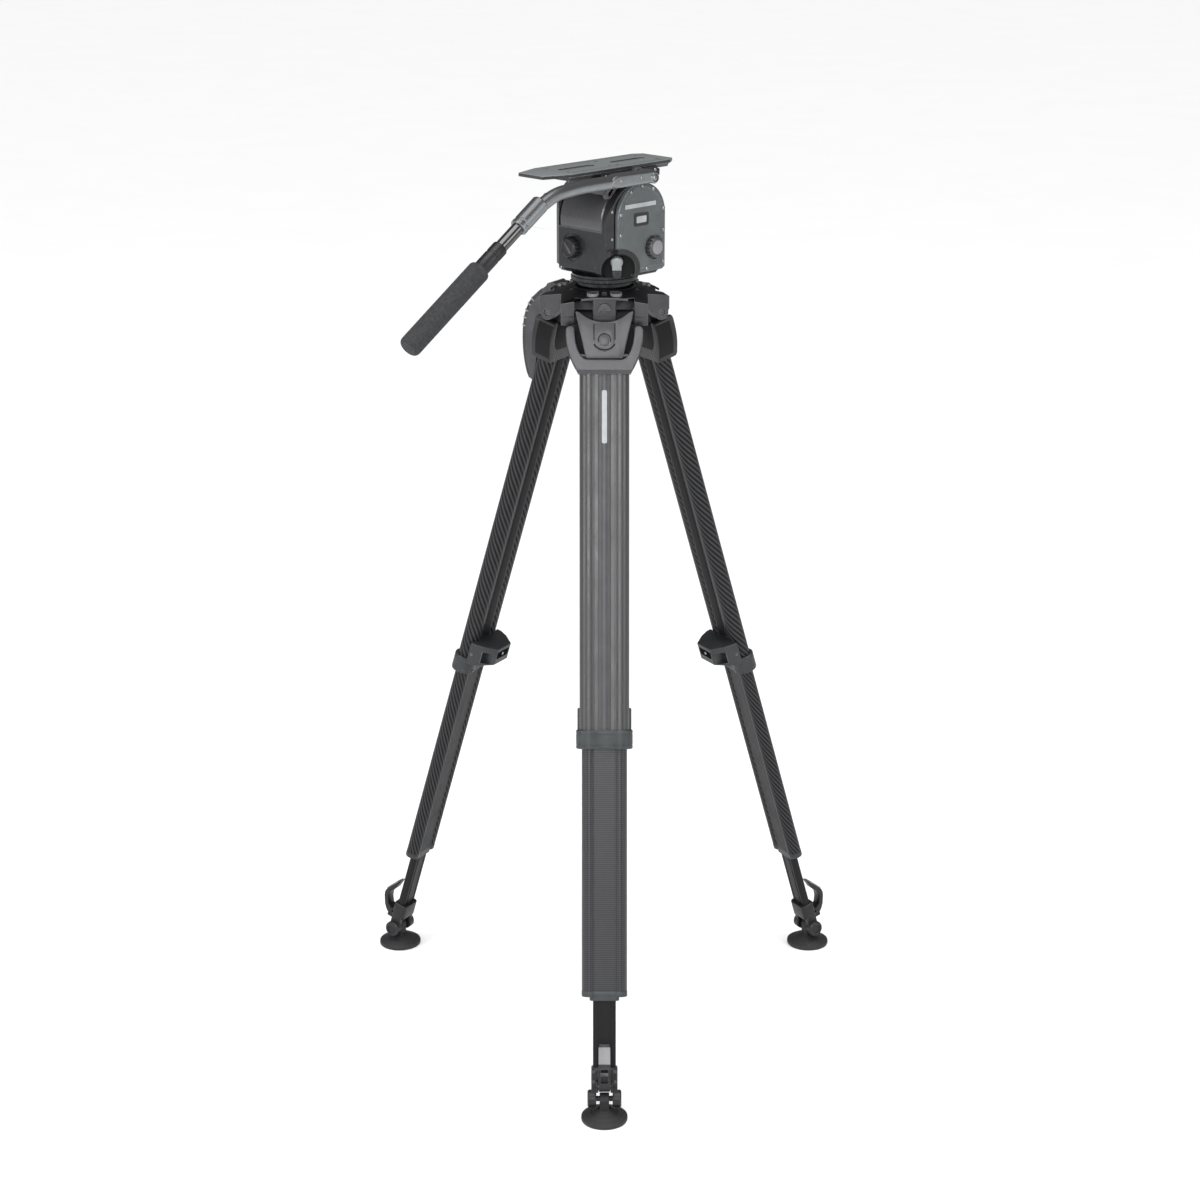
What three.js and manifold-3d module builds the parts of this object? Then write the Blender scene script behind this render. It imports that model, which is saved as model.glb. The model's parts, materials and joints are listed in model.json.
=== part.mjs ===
// A two-stage carbon camera tripod with a levelling bowl and a fluid head.
// Millimetres, +Z up. The origin is on the floor, at the middle of the footprint.

import * as THREE from 'three';
import { mergeVertices } from 'three/addons/utils/BufferGeometryUtils.js';
import Module from 'manifold-3d';

const wasm = await Module();
wasm.setup();

// ---------------------------------------------------------------- driving dimensions
const GAP = 0.3;                 // between pieces that touch or turn in each other

const FOOT_CIRCLE = 400;         // radius of the circle through the three feet
const AXIS_Y = FOOT_CIRCLE / 4;  // the tripod's axis, from the middle of the footprint
const PIN_CIRCLE = 62;           // radius of the circle through the leg hinge pins
const PIN_HEIGHT = 1135;
const ANKLE_HEIGHT = 34;
const LEG_TURNS = { front: 0, left: -120, right: 120 };   // degrees about Z

const LEG_RUN = FOOT_CIRCLE - PIN_CIRCLE;
const LEG_DROP = PIN_HEIGHT - ANKLE_HEIGHT;
const LEG_LENGTH = Math.hypot(LEG_RUN, LEG_DROP);         // hinge pin to ankle pin
const SPREAD = Math.atan2(LEG_RUN, LEG_DROP);             // radians from upright

const OUTER = { lobe: 13.8, reach: 22.9, web: 11, wall: 1.6 };   // upper tube section
const INNER = { lobe: 11.2, reach: 22.3, web: 8.8, wall: 1.5 };  // middle tube section
const FOOT_TUBE = { width: 33.9, depth: 13, corner: 4, wall: 1.5 };

const PIN_RADIUS = 5;
const KNUCKLE = { radius: 12, inner: 17.2, outer: 43.5 };
const CASTING_END = 83.4;        // distances down the leg, from the hinge pin
const TUBE_TOP = 66;
const TUBE_END = 618;
const COLLAR_TOP = 606;
const COLLAR_END = 634;
const MID_TOP = 440;
const MID_END = 1000;
const LOWER_TOP = 620;
const ANKLE_TOP = 1104;
const LOWER_END = ANKLE_TOP + 12;
const PAD_RADIUS = 34.6;
const BRAKE_AXLE = { y: -14, z: -57, radius: 3 };  // in the leg's own frame
const CLAW_PIN = { y: -17, z: -1133, radius: 2.5 };

const CROWN_TOP = 1172;
const BALL_HEIGHT = 1176;        // centre of the levelling ball
const BALL_RADIUS = 48;
const CEILING = 1164.5;          // top of the hinge slots in the crown

const HEAD_TURN = 45;            // lens direction, degrees from +X
const BASE_TOP = 1192;
const TILT = { x: 6, z: 1271 };  // tilt axis, in the head's own X and Z
const DRUM_RADIUS = 56;
const DRUM_HALF = 43;
const PLATFORM_BOTTOM = 1332.3;
const PLATFORM_TOP = 1341.5;
const PLATE_TOP = 1352;
const HANDLE = { x: 14, y: -79, z: 1339 };   // rosette axis of the pan handle, and its bar's Y
const HANDLE_SLOPE = 0.672;      // drop over run of the straight part of the pan handle
const STRAIGHT_START = { x: -224.5, z: 1313.4 };
const DRAG_KNOB = { x: 35, z: 1233 };
const SPRING_KNOB = { y: 15.4, z: 1233 };
const PAN_BRAKE = { x: 18, z: 1218 };        // turned back by HEAD_TURN, so it faces the front leg

// ---------------------------------------------------------------- finishes
const finish = (color, roughness, metalness) => new THREE.MeshStandardMaterial({ color, roughness, metalness });
const castGrey = finish(0x58585c, 0.5, 0.6);
const darkCast = finish(0x2a2b2d, 0.55, 0.5);
const headBlack = finish(0x26272a, 0.5, 0.4);
const coverGrey = finish(0x54585a, 0.5, 0.4);
const carbon = finish(0x2b2b2e, 0.35, 0.1);
const collarPlastic = finish(0x444a4c, 0.6, 0);
const steel = finish(0xb8babd, 0.3, 1);
const rubber = finish(0x2c2c2d, 0.85, 0);
const foam = finish(0x3c3d3e, 0.95, 0);
const springSteel = finish(0x6f7276, 0.35, 1);

// ---------------------------------------------------------------- solids
function outward(geometry) {
  const position = geometry.attributes.position;
  const index = geometry.index.array;
  const [a, b, c] = [new THREE.Vector3(), new THREE.Vector3(), new THREE.Vector3()];
  let volume = 0;
  for (let i = 0; i < index.length; i += 3) {
    a.fromBufferAttribute(position, index[i]);
    b.fromBufferAttribute(position, index[i + 1]);
    c.fromBufferAttribute(position, index[i + 2]);
    volume += a.dot(b.cross(c));
  }
  if (volume < 0) index.reverse();
  return geometry;
}

function closed(geometry) {
  const plain = geometry.clone();
  plain.deleteAttribute('normal');
  plain.deleteAttribute('uv');
  const merged = mergeVertices(plain, 1e-4);
  const kept = [];
  const index = merged.index.array;
  for (let i = 0; i < index.length; i += 3) {
    const [a, b, c] = index.slice(i, i + 3);
    if (a !== b && b !== c && c !== a) kept.push(a, b, c);
  }
  merged.setIndex(kept);
  return outward(merged);
}

function toSolid(geometry) {
  const { attributes, index } = closed(geometry);
  const vertProperties = new Float32Array(attributes.position.array);
  const triVerts = new Uint32Array(index.array);
  return new wasm.Manifold(new wasm.Mesh({ numProp: 3, vertProperties, triVerts }));
}

function toGeometry(solid) {
  const mesh = solid.getMesh();
  const geometry = new THREE.BufferGeometry();
  geometry.setAttribute('position', new THREE.Float32BufferAttribute(mesh.vertProperties, 3));
  geometry.setIndex(Array.from(mesh.triVerts));
  return geometry;
}

function combine(action, first, others) {
  let solid = toSolid(first);
  for (const other of others) solid = solid[action](toSolid(other));
  return toGeometry(solid);
}

const join = (first, ...others) => combine('add', first, others);
const cut = (first, ...others) => combine('subtract', first, others);
const common = (first, ...others) => combine('intersect', first, others);

function box(x, y, z) {
  const geometry = new THREE.BoxGeometry(x[1] - x[0], y[1] - y[0], z[1] - z[0]);
  return geometry.translate((x[0] + x[1]) / 2, (y[0] + y[1]) / 2, (z[0] + z[1]) / 2);
}

function rod(axis, radius, from, to, sides = 16) {
  const geometry = new THREE.CylinderGeometry(radius, radius, to - from, sides);
  geometry.translate(0, (from + to) / 2, 0);
  if (axis === 'x') geometry.rotateZ(-Math.PI / 2);
  if (axis === 'z') geometry.rotateX(Math.PI / 2);
  return geometry;
}

function turned(profile, sides = 24) {
  const points = profile.map(([r, z]) => new THREE.Vector2(r, z));
  return new THREE.LatheGeometry(points, sides).rotateX(Math.PI / 2);
}

const outline = (points) => new THREE.Shape(points.map(([u, v]) => new THREE.Vector2(u, v)));

// Shapes drawn in a plane and pushed through the third axis, from one value to another.
const PLANES = {
  xy: [[1, 0, 0], [0, 1, 0], [0, 0, 1]],
  xz: [[1, 0, 0], [0, 0, 1], [0, -1, 0]],
  yz: [[0, 1, 0], [0, 0, 1], [1, 0, 0]],
};

function pushed(plane, shape, from, to, curveSegments = 5) {
  const geometry = new THREE.ExtrudeGeometry(shape, { depth: to - from, bevelEnabled: false, curveSegments });
  const [u, v, w] = PLANES[plane].map((axis) => new THREE.Vector3(...axis));
  geometry.applyMatrix4(new THREE.Matrix4().makeBasis(u, v, w));
  if (plane === 'xz') return geometry.translate(0, to, 0);
  return geometry.translate(w.x * from, w.y * from, w.z * from);
}

const mirrored = (points) => [...points, ...points.map(([u, v]) => [-u, v]).reverse()];

// A section of two round lobes joined by a flat web, grown outwards by `grow`.
function dogBone({ lobe, reach, web }, grow = 0) {
  const radius = lobe + grow;
  const meet = Math.PI - Math.asin((web + grow) / radius);
  const shape = new THREE.Shape();
  shape.absarc(reach, 0, radius, -meet, meet, false);
  shape.absarc(-reach, 0, radius, Math.PI - meet, Math.PI + meet, false);
  shape.closePath();
  return shape;
}

function roundedRect(width, depth, corner) {
  const shape = new THREE.Shape();
  const [w, d] = [width / 2 - corner, depth / 2 - corner];
  shape.absarc(w, d, corner, 0, Math.PI / 2, false);
  shape.absarc(-w, d, corner, Math.PI / 2, Math.PI, false);
  shape.absarc(-w, -d, corner, Math.PI, Math.PI * 1.5, false);
  shape.absarc(w, -d, corner, Math.PI * 1.5, Math.PI * 2, false);
  shape.closePath();
  return shape;
}

function circle(radius, u = 0, v = 0) {
  const shape = new THREE.Shape();
  shape.absarc(u, v, radius, 0, Math.PI * 2, false);
  return shape;
}

function piece(name, geometry, material) {
  const mesh = new THREE.Mesh(closed(geometry), material);
  mesh.name = name;
  return mesh;
}

// ---------------------------------------------------------------- one leg
// The leg's own frame: the hinge pin is the origin, -Y faces outwards, -Z runs down the leg.

function legCasting() {
  const yoke = pushed('xz', outline(mirrored([
    [38.5, -CASTING_END], [42, -72], [51, -55], [56.3, -38], [56.6, -16], [54, -13.8], [44.2, -13.8],
    [43.6, -40], [39, -54], [33, -62.6],
  ])), -20, 14);
  const back = box([-43.6, 43.6], [-7.5, 14], [-64, -18]);
  const knuckle = (side) => join(
    rod('x', KNUCKLE.radius, KNUCKLE.inner, KNUCKLE.outer),
    box([KNUCKLE.inner, KNUCKLE.outer], [-7.5, 11.5], [-22, 0]),
  ).scale(side, 1, 1);
  const socket = pushed('xy', dogBone(OUTER, GAP), -CASTING_END - 1, -TUBE_TOP);
  const pinHole = rod('x', PIN_RADIUS + GAP, -60, 60, 12);
  const axleHole = rod('x', BRAKE_AXLE.radius + GAP, -41, 41, 12).translate(0, BRAKE_AXLE.y, BRAKE_AXLE.z);
  const bevelFace = outline([[-21, -CASTING_END - 1], [-21, -74], [-15, -CASTING_END - 1]]);
  const frontBevel = pushed('yz', bevelFace, -60, 60);
  return cut(join(yoke, back, knuckle(1), knuckle(-1)), socket, pinHole, axleHole, frontBevel);
}

function brakeLever() {
  const edge = [[-28.4, -55], [-42.5, 10.5]];
  const top = [[-36, 3.5], [-28, -3], [-18.5, -8]];
  const plate = pushed('xz', outline([...edge, ...top, ...top.map(([u, v]) => [-u, v]).reverse(),
    [42.5, 10.5], [28.4, -55]]), -20, -13.4);
  const panel = pushed('xz', outline(mirrored([[0, -46], [8, -45], [15.5, -40], [15.5, -10]])), -22, -19);
  const thumb = pushed('xz', circle(8, 0, -35.7), -25, -21, 6);
  const barrel = rod('x', 4.5, -27, 27, 12).translate(0, BRAKE_AXLE.y, BRAKE_AXLE.z);
  const axle = rod('x', BRAKE_AXLE.radius, -40, 40, 12).translate(0, BRAKE_AXLE.y, BRAKE_AXLE.z);
  return join(plate, panel, thumb, barrel, axle);
}

function hollow(shape, inner, from, to, segments = 5) {
  shape.holes.push(inner);
  return pushed('xy', shape, from, to, segments);
}

const upperTube = () => hollow(dogBone(OUTER), dogBone(OUTER, -OUTER.wall), -TUBE_END, -TUBE_TOP - GAP);

function collar() {
  const band = pushed('xy', dogBone({ lobe: 18.6, reach: 23.2, web: 15.8 }), -COLLAR_END, -COLLAR_TOP);
  const spreader = pushed('xy', outline(mirrored([[40, 10], [40, 18], [34, 32], [20, 50]])), -613, -575);
  const undercut = pushed('yz', outline([[18, -614], [51, -614], [51, -603]]), -45, 45);
  const block = cut(spreader, undercut);
  return cut(join(band, block),
    pushed('xy', dogBone(OUTER, GAP), -TUBE_END - GAP, -570),
    pushed('xy', dogBone(INNER, GAP), -COLLAR_END - 1, -COLLAR_TOP));
}

function middleTube() {
  const plug = pushed('xy', dogBone(INNER), -MID_END, -MID_END + 16);
  const lip = pushed('xy', roundedRect(44, 17.6, 6), -MID_END - 6, -MID_END + 2, 2);
  const tube = hollow(dogBone(INNER), dogBone(INNER, -INNER.wall), -MID_END + 8, -MID_TOP);
  const way = pushed('xy', roundedRect(FOOT_TUBE.width + 2 * GAP, FOOT_TUBE.depth + 2 * GAP, FOOT_TUBE.corner),
    -MID_END - 7, -MID_END + 20, 2);
  return join(tube, cut(join(plug, lip), way));
}

function lowerTube() {
  const { width, depth, corner, wall } = FOOT_TUBE;
  const bore = roundedRect(width - 2 * wall, depth - 2 * wall, corner - wall);
  return hollow(roundedRect(width, depth, corner), bore, -LOWER_END, -LOWER_TOP, 2);
}

function ankle() {
  const block = pushed('xy', roundedRect(39, 24, 6), -1131, -ANKLE_TOP, 2);
  const arm = (side) => join(
    box([12, 19.4], [-9, 9], [-LEG_LENGTH, -1128]),
    rod('x', 13, 12, 25, 14).translate(0, 0, -LEG_LENGTH),
  ).scale(side, 1, 1);
  const pin = rod('x', 4, -24, 24, 12).translate(0, 0, -LEG_LENGTH);
  const lug = (side) => box([9, 12.4], [-22, -10], [-1139, -1122]).scale(side, 1, 1);
  const { width, depth, corner } = FOOT_TUBE;
  const socket = pushed('xy', roundedRect(width + 2 * GAP, depth + 2 * GAP, corner), -LOWER_END - GAP, -1100, 2);
  const leverPinHole = rod('x', CLAW_PIN.radius + GAP, -14, 14, 12).translate(0, CLAW_PIN.y, CLAW_PIN.z);
  return cut(join(block, arm(1), arm(-1), pin, lug(1), lug(-1)), socket, leverPinHole);
}

function footLever() {
  const claw = pushed('yz', outline([
    [-15.5, -1068], [-27, -1081], [-38, -1097], [-39.5, -1103], [-34, -1124], [-25, -1136], [-17, -1138.5],
    [-13, -1134], [-14, -1128.5], [-26, -1122], [-31, -1103], [-22, -1088],
  ]), -8.6, 8.6);
  return join(claw, rod('x', CLAW_PIN.radius, -12, 12, 12).translate(0, CLAW_PIN.y, CLAW_PIN.z));
}

// The pad stays level, so it is made upright about the ankle pin.
function footPad() {
  const disc = turned([[0, 0], [33.4, 0], [PAD_RADIUS, 1.6], [PAD_RADIUS, 6], [14, 16.5], [10, 18], [0, 18]], 20);
  const stem = box([-7, 7], [-8, 8], [14, ANKLE_HEIGHT]);
  const knuckle = rod('x', 9, -7, 7, 14).translate(0, 0, ANKLE_HEIGHT);
  const hole = rod('x', 4 + GAP, -9, 9, 12).translate(0, 0, ANKLE_HEIGHT);
  return cut(join(disc, stem, knuckle), hole).translate(0, 0, -ANKLE_HEIGHT);
}

// The latch sits in a pocket of the crown's rib, so it hangs from the pin but keeps upright.
function spreadLatch() {
  const shape = new THREE.Shape();
  shape.moveTo(-10, 12);
  shape.lineTo(10, 12);
  shape.lineTo(10, 14);
  shape.absarc(0, 14, 10, 0, Math.PI, false);
  shape.closePath();
  return pushed('xz', shape, -15, -6, 5);
}

function leg(name, turn) {
  const hinge = new THREE.Group();
  hinge.position.set(0, -PIN_CIRCLE, PIN_HEIGHT);
  hinge.add(piece(`${name}_hinge_pin`, rod('x', PIN_RADIUS, -63, 63, 12), steel));
  hinge.add(piece(`${name}_spread_latch`, spreadLatch(), darkCast));

  const limb = new THREE.Group();
  limb.rotation.x = -SPREAD;
  limb.add(piece(`${name}_casting`, legCasting(), castGrey));
  limb.add(piece(`${name}_brake_lever`, brakeLever(), castGrey));
  limb.add(piece(`${name}_upper_tube`, upperTube(), carbon));
  const brakeRod = rod('z', 3, -600, -TUBE_TOP - GAP, 12).translate(INNER.reach, 0, 0);
  limb.add(piece(`${name}_brake_rod`, brakeRod, steel));
  limb.add(piece(`${name}_collar`, collar(), collarPlastic));
  limb.add(piece(`${name}_middle_tube`, middleTube(), carbon));
  limb.add(piece(`${name}_lower_tube`, lowerTube(), carbon));
  limb.add(piece(`${name}_ankle`, ankle(), darkCast));
  limb.add(piece(`${name}_foot_lever`, footLever(), darkCast));
  const pad = piece(`${name}_foot_pad`, footPad(), rubber);
  pad.position.z = -LEG_LENGTH;
  pad.rotation.x = SPREAD;
  limb.add(pad);
  hinge.add(limb);

  const around = new THREE.Group();
  around.rotation.z = THREE.MathUtils.degToRad(turn);
  around.add(hinge);
  return around;
}

// ---------------------------------------------------------------- crown and bowl
const HANDLE_EYE = { y: -PIN_CIRCLE - 18.5, z: PIN_HEIGHT + 31, radius: 5, pin: 2 };

// The half of the crown that belongs to one leg, drawn for the front leg.
function crownArm() {
  const lug = (inner, outer, face) => {
    const shape = new THREE.Shape();
    shape.moveTo(-30, 1150);
    shape.lineTo(-30, CROWN_TOP);
    shape.lineTo(face, CROWN_TOP);
    shape.lineTo(face, PIN_HEIGHT + 5);
    shape.absarc(-PIN_CIRCLE, PIN_HEIGHT, 11.5, Math.PI - 0.2, Math.PI * 1.75, false);
    shape.closePath();
    return pushed('yz', shape, inner, outer, 3);
  };
  const web = box([-64, 64], [-75, -30], [CEILING, CROWN_TOP]);
  const arm = join(web, lug(44, 64, -75), lug(-64, -44, -75), lug(-16.6, 16.6, -74));
  return cut(arm,
    rod('x', PIN_RADIUS + GAP, -70, 70, 12).translate(0, -PIN_CIRCLE, PIN_HEIGHT),
    spreadLatchPocket());
}

const spreadLatchPocket = () => pushed('xz', outline([[-10.5, PIN_HEIGHT + 11.5], [10.5, PIN_HEIGHT + 11.5],
  [10.5, PIN_HEIGHT + 24.6], [-10.5, PIN_HEIGHT + 24.6]]), -PIN_CIRCLE - 16, -PIN_CIRCLE - 2);

function handleLugs() {
  const lug = (inner) => join(
    rod('x', HANDLE_EYE.radius, inner, inner + 5.4, 16).translate(0, HANDLE_EYE.y, HANDLE_EYE.z),
    box([inner, inner + 5.4], [HANDLE_EYE.y, -70], [HANDLE_EYE.z - 5, HANDLE_EYE.z + 3]),
  );
  const pin = rod('x', HANDLE_EYE.pin, -14, 14, 10).translate(0, HANDLE_EYE.y, HANDLE_EYE.z);
  return join(lug(11.2), lug(-16.6), pin);
}

function crown() {
  const turn = (geometry, degrees) => geometry.rotateZ(THREE.MathUtils.degToRad(degrees));
  const core = turned([[0, 1127], [34, 1127], [46, 1140], [55, 1155], [55, CROWN_TOP], [0, CROWN_TOP]]);
  const arms = Object.values(LEG_TURNS).map((degrees) => turn(crownArm(), degrees));
  const slope = turn(turned([[0, 1100], [134, 1100], [134, 1148], [54, CROWN_TOP], [0, CROWN_TOP]], 12), 15);
  const hub = join(core, ...arms);
  const seat = new THREE.SphereGeometry(BALL_RADIUS + 4 * GAP, 24, 12).rotateX(Math.PI / 2);
  seat.translate(0, 0, BALL_HEIGHT);
  const through = rod('z', 22, 1120, BALL_HEIGHT, 24);
  const shaped = cut(common(hub, slope), seat, through);
  return join(shaped, turn(handleLugs(), LEG_TURNS.left));
}

// A cup with open top and bottom: the head's stem passes through it.
function halfBall() {
  const outer = new THREE.SphereGeometry(BALL_RADIUS, 24, 12).rotateX(Math.PI / 2);
  const inner = new THREE.SphereGeometry(BALL_RADIUS - 4, 16, 8).rotateX(Math.PI / 2);
  const band = box([-60, 60], [-60, 60], [-37, -4]);
  const way = rod('z', 15, -60, 0);
  return cut(common(outer, band), inner, way).translate(0, 0, BALL_HEIGHT);
}

// A D-shaped grip hung on the crown above the left leg; its lower end rests by the tube.
// Its outline is laid out from the hinge pin: distances out of and down the leg.
const HANDLE_OUTSIDE = [
  [26, -27], [34, -24], [44, -12], [54, 3], [61, 18], [64, 37], [62, 58], [56, 81], [48, 102], [38.5, 120], [30, 132],
];
const HANDLE_INSIDE = [
  [23, 133], [22, 126], [23.8, 105], [28.2, 83], [32.6, 60], [36.2, 40], [38, 22], [38.2, 7], [34, -5], [26, -14],
];

function carryHandle() {
  const side = outline([...HANDLE_OUTSIDE, ...HANDLE_INSIDE].map(([out, down]) => [-out, -down]));
  const grip = pushed('yz', side, -8, 8).rotateX(-SPREAD);
  const [eyeY, eyeZ] = [HANDLE_EYE.y + PIN_CIRCLE, HANDLE_EYE.z - PIN_HEIGHT];
  const link = outline([
    [eyeY, eyeZ - 4.5], [eyeY, eyeZ + 5], [eyeY - 12, eyeZ + 1], [eyeY - 18, eyeZ - 8], [eyeY - 12, eyeZ - 14],
  ]);
  const eye = join(
    rod('x', HANDLE_EYE.radius, -10.8, 10.8, 16).translate(0, eyeY, eyeZ),
    pushed('yz', link, -10.8, 10.8),
  );
  const latchSide = outline([
    [eyeY + 0.7, eyeZ - 5.8], [eyeY - 3.4, eyeZ - 21], [eyeY + 14, eyeZ - 21], [eyeY + 14, eyeZ - 5.8],
  ]);
  return cut(join(grip, eye),
    rod('x', HANDLE_EYE.pin + GAP, -15, 15, 12).translate(0, eyeY, eyeZ),
    pushed('yz', latchSide, -16, 16));
}

function tieDownStud() {
  return rod('z', 6, 1092, BALL_HEIGHT - 27, 16);
}

function tieDownKnob() {
  const grip = turned([[0, 1086], [20, 1086], [25, 1091], [25, 1106], [17, 1120], [17, 1122], [0, 1122]], 18);
  const flutes = Array.from({ length: 6 }, (_, i) => {
    const angle = (i * Math.PI) / 3;
    return rod('z', 4.6, 1080, 1112, 8).translate(27.5 * Math.cos(angle), 27.5 * Math.sin(angle), 0);
  });
  return cut(grip, ...flutes, rod('z', 6 + GAP, 1092 - GAP, 1130, 16));
}

// ---------------------------------------------------------------- fluid head
// The head's own frame: +X is the lens direction, -Y the operator's right.

function panBase() {
  const stem = 24;
  return turned([[0, BALL_HEIGHT - 26], [stem, BALL_HEIGHT - 26], [stem, 1174.5], [41, 1174.5], [41, 1181],
    [48.5, 1181], [50, 1183], [50, 1187.5], [48.5, 1188.5], [48.5, BASE_TOP - GAP], [0, BASE_TOP - GAP]], 28);
}

function archSide(centre, half, bottom, springing, chamfer, steps = 8) {
  const shape = new THREE.Shape();
  shape.moveTo(centre - half + chamfer, bottom);
  shape.lineTo(centre + half - chamfer, bottom);
  shape.lineTo(centre + half, bottom + chamfer * 0.6);
  shape.lineTo(centre + half, springing);
  shape.absarc(centre, springing, half, 0, Math.PI, false);
  shape.lineTo(centre - half, bottom + chamfer * 0.6);
  shape.closePath();
  return [shape, steps];
}

function rotatedTool(geometry) {
  return geometry.rotateZ(THREE.MathUtils.degToRad(-HEAD_TURN));
}

// The bay in the rear right corner that the pan brake lever works in; it faces the front leg.
const brakeBay = () => rotatedTool(rod('y', 25, -110, -50, 20).translate(20, 0, 1206));

function housing() {
  const [side, steps] = archSide(TILT.x, 56, BASE_TOP, TILT.z, 14);
  const body = pushed('xz', side, -60, 54, steps);
  const drumBay = rod('y', DRUM_RADIUS + 0.8, -DRUM_HALF - 2, DRUM_HALF + 2, 28).translate(TILT.x, 0, TILT.z);
  const above = join(
    box([-80, TILT.x], [-DRUM_HALF - 2, DRUM_HALF + 2], [TILT.z - 3, 1340]),
    box([TILT.x - 1, 90], [-DRUM_HALF - 2, DRUM_HALF + 2], [TILT.z - 22, 1340]),
  );
  const corner = (x, y) => box([-9, 9], [-9, 9], [1180, 1340]).rotateZ(Math.PI / 4).translate(x, y, 0);
  const rotorBay = rod('y', 34, -61, -53, 20).translate(TILT.x, 0, TILT.z);
  const shaftHole = rod('y', 8 + GAP, -62, 56).translate(TILT.x, 0, TILT.z);
  return cut(body, drumBay, above, corner(-52, -62), corner(64, -62), corner(-52, 56), corner(64, 56),
    rotorBay, shaftHole, brakeBay());
}

function sideCover(inner, outer, half) {
  const [side, steps] = archSide(TILT.x + 4, half, 1198, 1330 - half, 6);
  return pushed('xz', side, inner, outer, steps);
}

function rightCover() {
  const recess = rod('y', 18.5, -70, -65, 20).translate(DRAG_KNOB.x, 0, DRAG_KNOB.z);
  return cut(sideCover(-68, -60.3, 49), brakeBay(), recess);
}

const leftCover = () => sideCover(54.3, 62, 49);

function tiltCradle() {
  const drum = rod('y', DRUM_RADIUS, -DRUM_HALF, DRUM_HALF, 28);
  const neck = box([-38, 38], [-DRUM_HALF, DRUM_HALF], [20, PLATFORM_BOTTOM - GAP - TILT.z]);
  const springBay = rod('y', 40, 6, DRUM_HALF + 1, 20);
  const shaftHole = rod('y', 8 + GAP, -50, 50);
  return cut(join(drum, neck), springBay, shaftHole).translate(TILT.x, 0, TILT.z);
}

const tiltShaft = () => rod('y', 8, -59, 53.5).translate(TILT.x, 0, TILT.z);

function dragRotor() {
  const disc = rod('y', 32, -59.5, -54, 20);
  return cut(disc, rod('y', 8 + GAP, -62, -50)).translate(TILT.x, 0, TILT.z);
}

class Coil extends THREE.Curve {
  constructor(radius, length, turns) {
    super();
    Object.assign(this, { radius, length, turns });
  }
  getPoint(t) {
    const angle = t * this.turns * Math.PI * 2;
    return new THREE.Vector3(this.radius * Math.cos(angle), t * this.length, this.radius * Math.sin(angle));
  }
}

function counterbalanceSpring() {
  const wire = circle(3.5);
  const coil = new THREE.ExtrudeGeometry(wire, {
    steps: 27, extrudePath: new Coil(28, 27, 3), curveSegments: 3, bevelEnabled: false,
  });
  return coil.translate(TILT.x, 11.5, TILT.z);
}

function platform() {
  const slab = pushed('xy', roundedRect(140, 90, 8), PLATFORM_BOTTOM, PLATFORM_TOP, 2).translate(5, 0, 0);
  const railFace = outline([
    [-47, PLATFORM_BOTTOM + 2], [-47, 1346], [-40.8, 1346], [-43.4, PLATFORM_TOP - 2],
  ]);
  const rail = pushed('yz', railFace, -52, 62);
  const leftRail = rail.clone().scale(1, -1, 1);
  const clampFace = box([-6, 34], [-50, -44], [PLATFORM_BOTTOM + 1, PLATFORM_TOP]);
  return join(slab, closed(rail), closed(leftRail), clampFace);
}

function cameraPlate() {
  const corners = mirroredY([[-150, 25], [-104, 40], [98, 40], [113, 30]]);
  const top = pushed('xy', outline(corners), 1346.5, PLATE_TOP);
  const bevel = pushed('yz', outline(mirrored([[37, 1341.8], [40.4, 1347]])), -110, 95);
  return join(top, bevel);
}

const mirroredY = (points) => [...points, ...points.map(([u, v]) => [u, -v]).reverse()];

function plateLockLever() {
  const hub = rod('y', 6, -56, -47.5).translate(-24, 0, 1338.5);
  const arm = pushed('xz', outline([[-22, 1334], [-30, 1338], [-52, 1318], [-50, 1312], [-44, 1312]]), -56, -50);
  return join(hub, arm);
}

const onSlope = (x) => STRAIGHT_START.z + (x - STRAIGHT_START.x) * HANDLE_SLOPE;

// A round rod lying on the handle's straight line, between two values of X.
function slopeRod(radius, fromX, toX, sides = 16) {
  const from = new THREE.Vector3(fromX, HANDLE.y, onSlope(fromX));
  const to = new THREE.Vector3(toX, HANDLE.y, onSlope(toX));
  const length = from.distanceTo(to);
  const geometry = new THREE.CylinderGeometry(radius, radius, length, sides).translate(0, length / 2, 0);
  const turn = new THREE.Quaternion().setFromUnitVectors(new THREE.Vector3(0, 1, 0), to.sub(from).normalize());
  return geometry.applyQuaternion(turn).translate(from.x, from.y, from.z);
}

function handleClamp() {
  const disc = rod('y', 12, -57.5, -50.3).translate(HANDLE.x, 0, HANDLE.z);
  const foot = box([0, 28], [-57.5, -50.3], [PLATFORM_BOTTOM + 1, HANDLE.z]);
  return join(disc, foot);
}

function panBar() {
  const line = [[12, 1340], [-50, 1340], [-114, 1340], [-149, 1338], [-181, 1333]];
  const along = [...line, [STRAIGHT_START.x, STRAIGHT_START.z]];
  const bar = new THREE.ExtrudeGeometry(circle(10), {
    steps: 10,
    extrudePath: new THREE.CatmullRomCurve3(along.map(([x, z]) => new THREE.Vector3(x, HANDLE.y, z))),
    curveSegments: 5,
    bevelEnabled: false,
  });
  const hub = rod('y', 8.5, HANDLE.y - 12, -57.8).translate(HANDLE.x, 0, HANDLE.z);
  const side = outline([[14, 1332], [-62, 1332], [-69, 1336], [-69, 1347], [-62, 1351], [14, 1351]]);
  const body = pushed('xz', side, HANDLE.y - 10, HANDLE.y + 10);
  const sleeve = slopeRod(13, -205, -249);
  const outerTube = slopeRod(9.4, -240, -321);
  const ferrule = slopeRod(11.5, -283, -321);
  return cut(join(bar, hub, body, sleeve, outerTube, ferrule), slopeRod(8, -242, -330));
}

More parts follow.
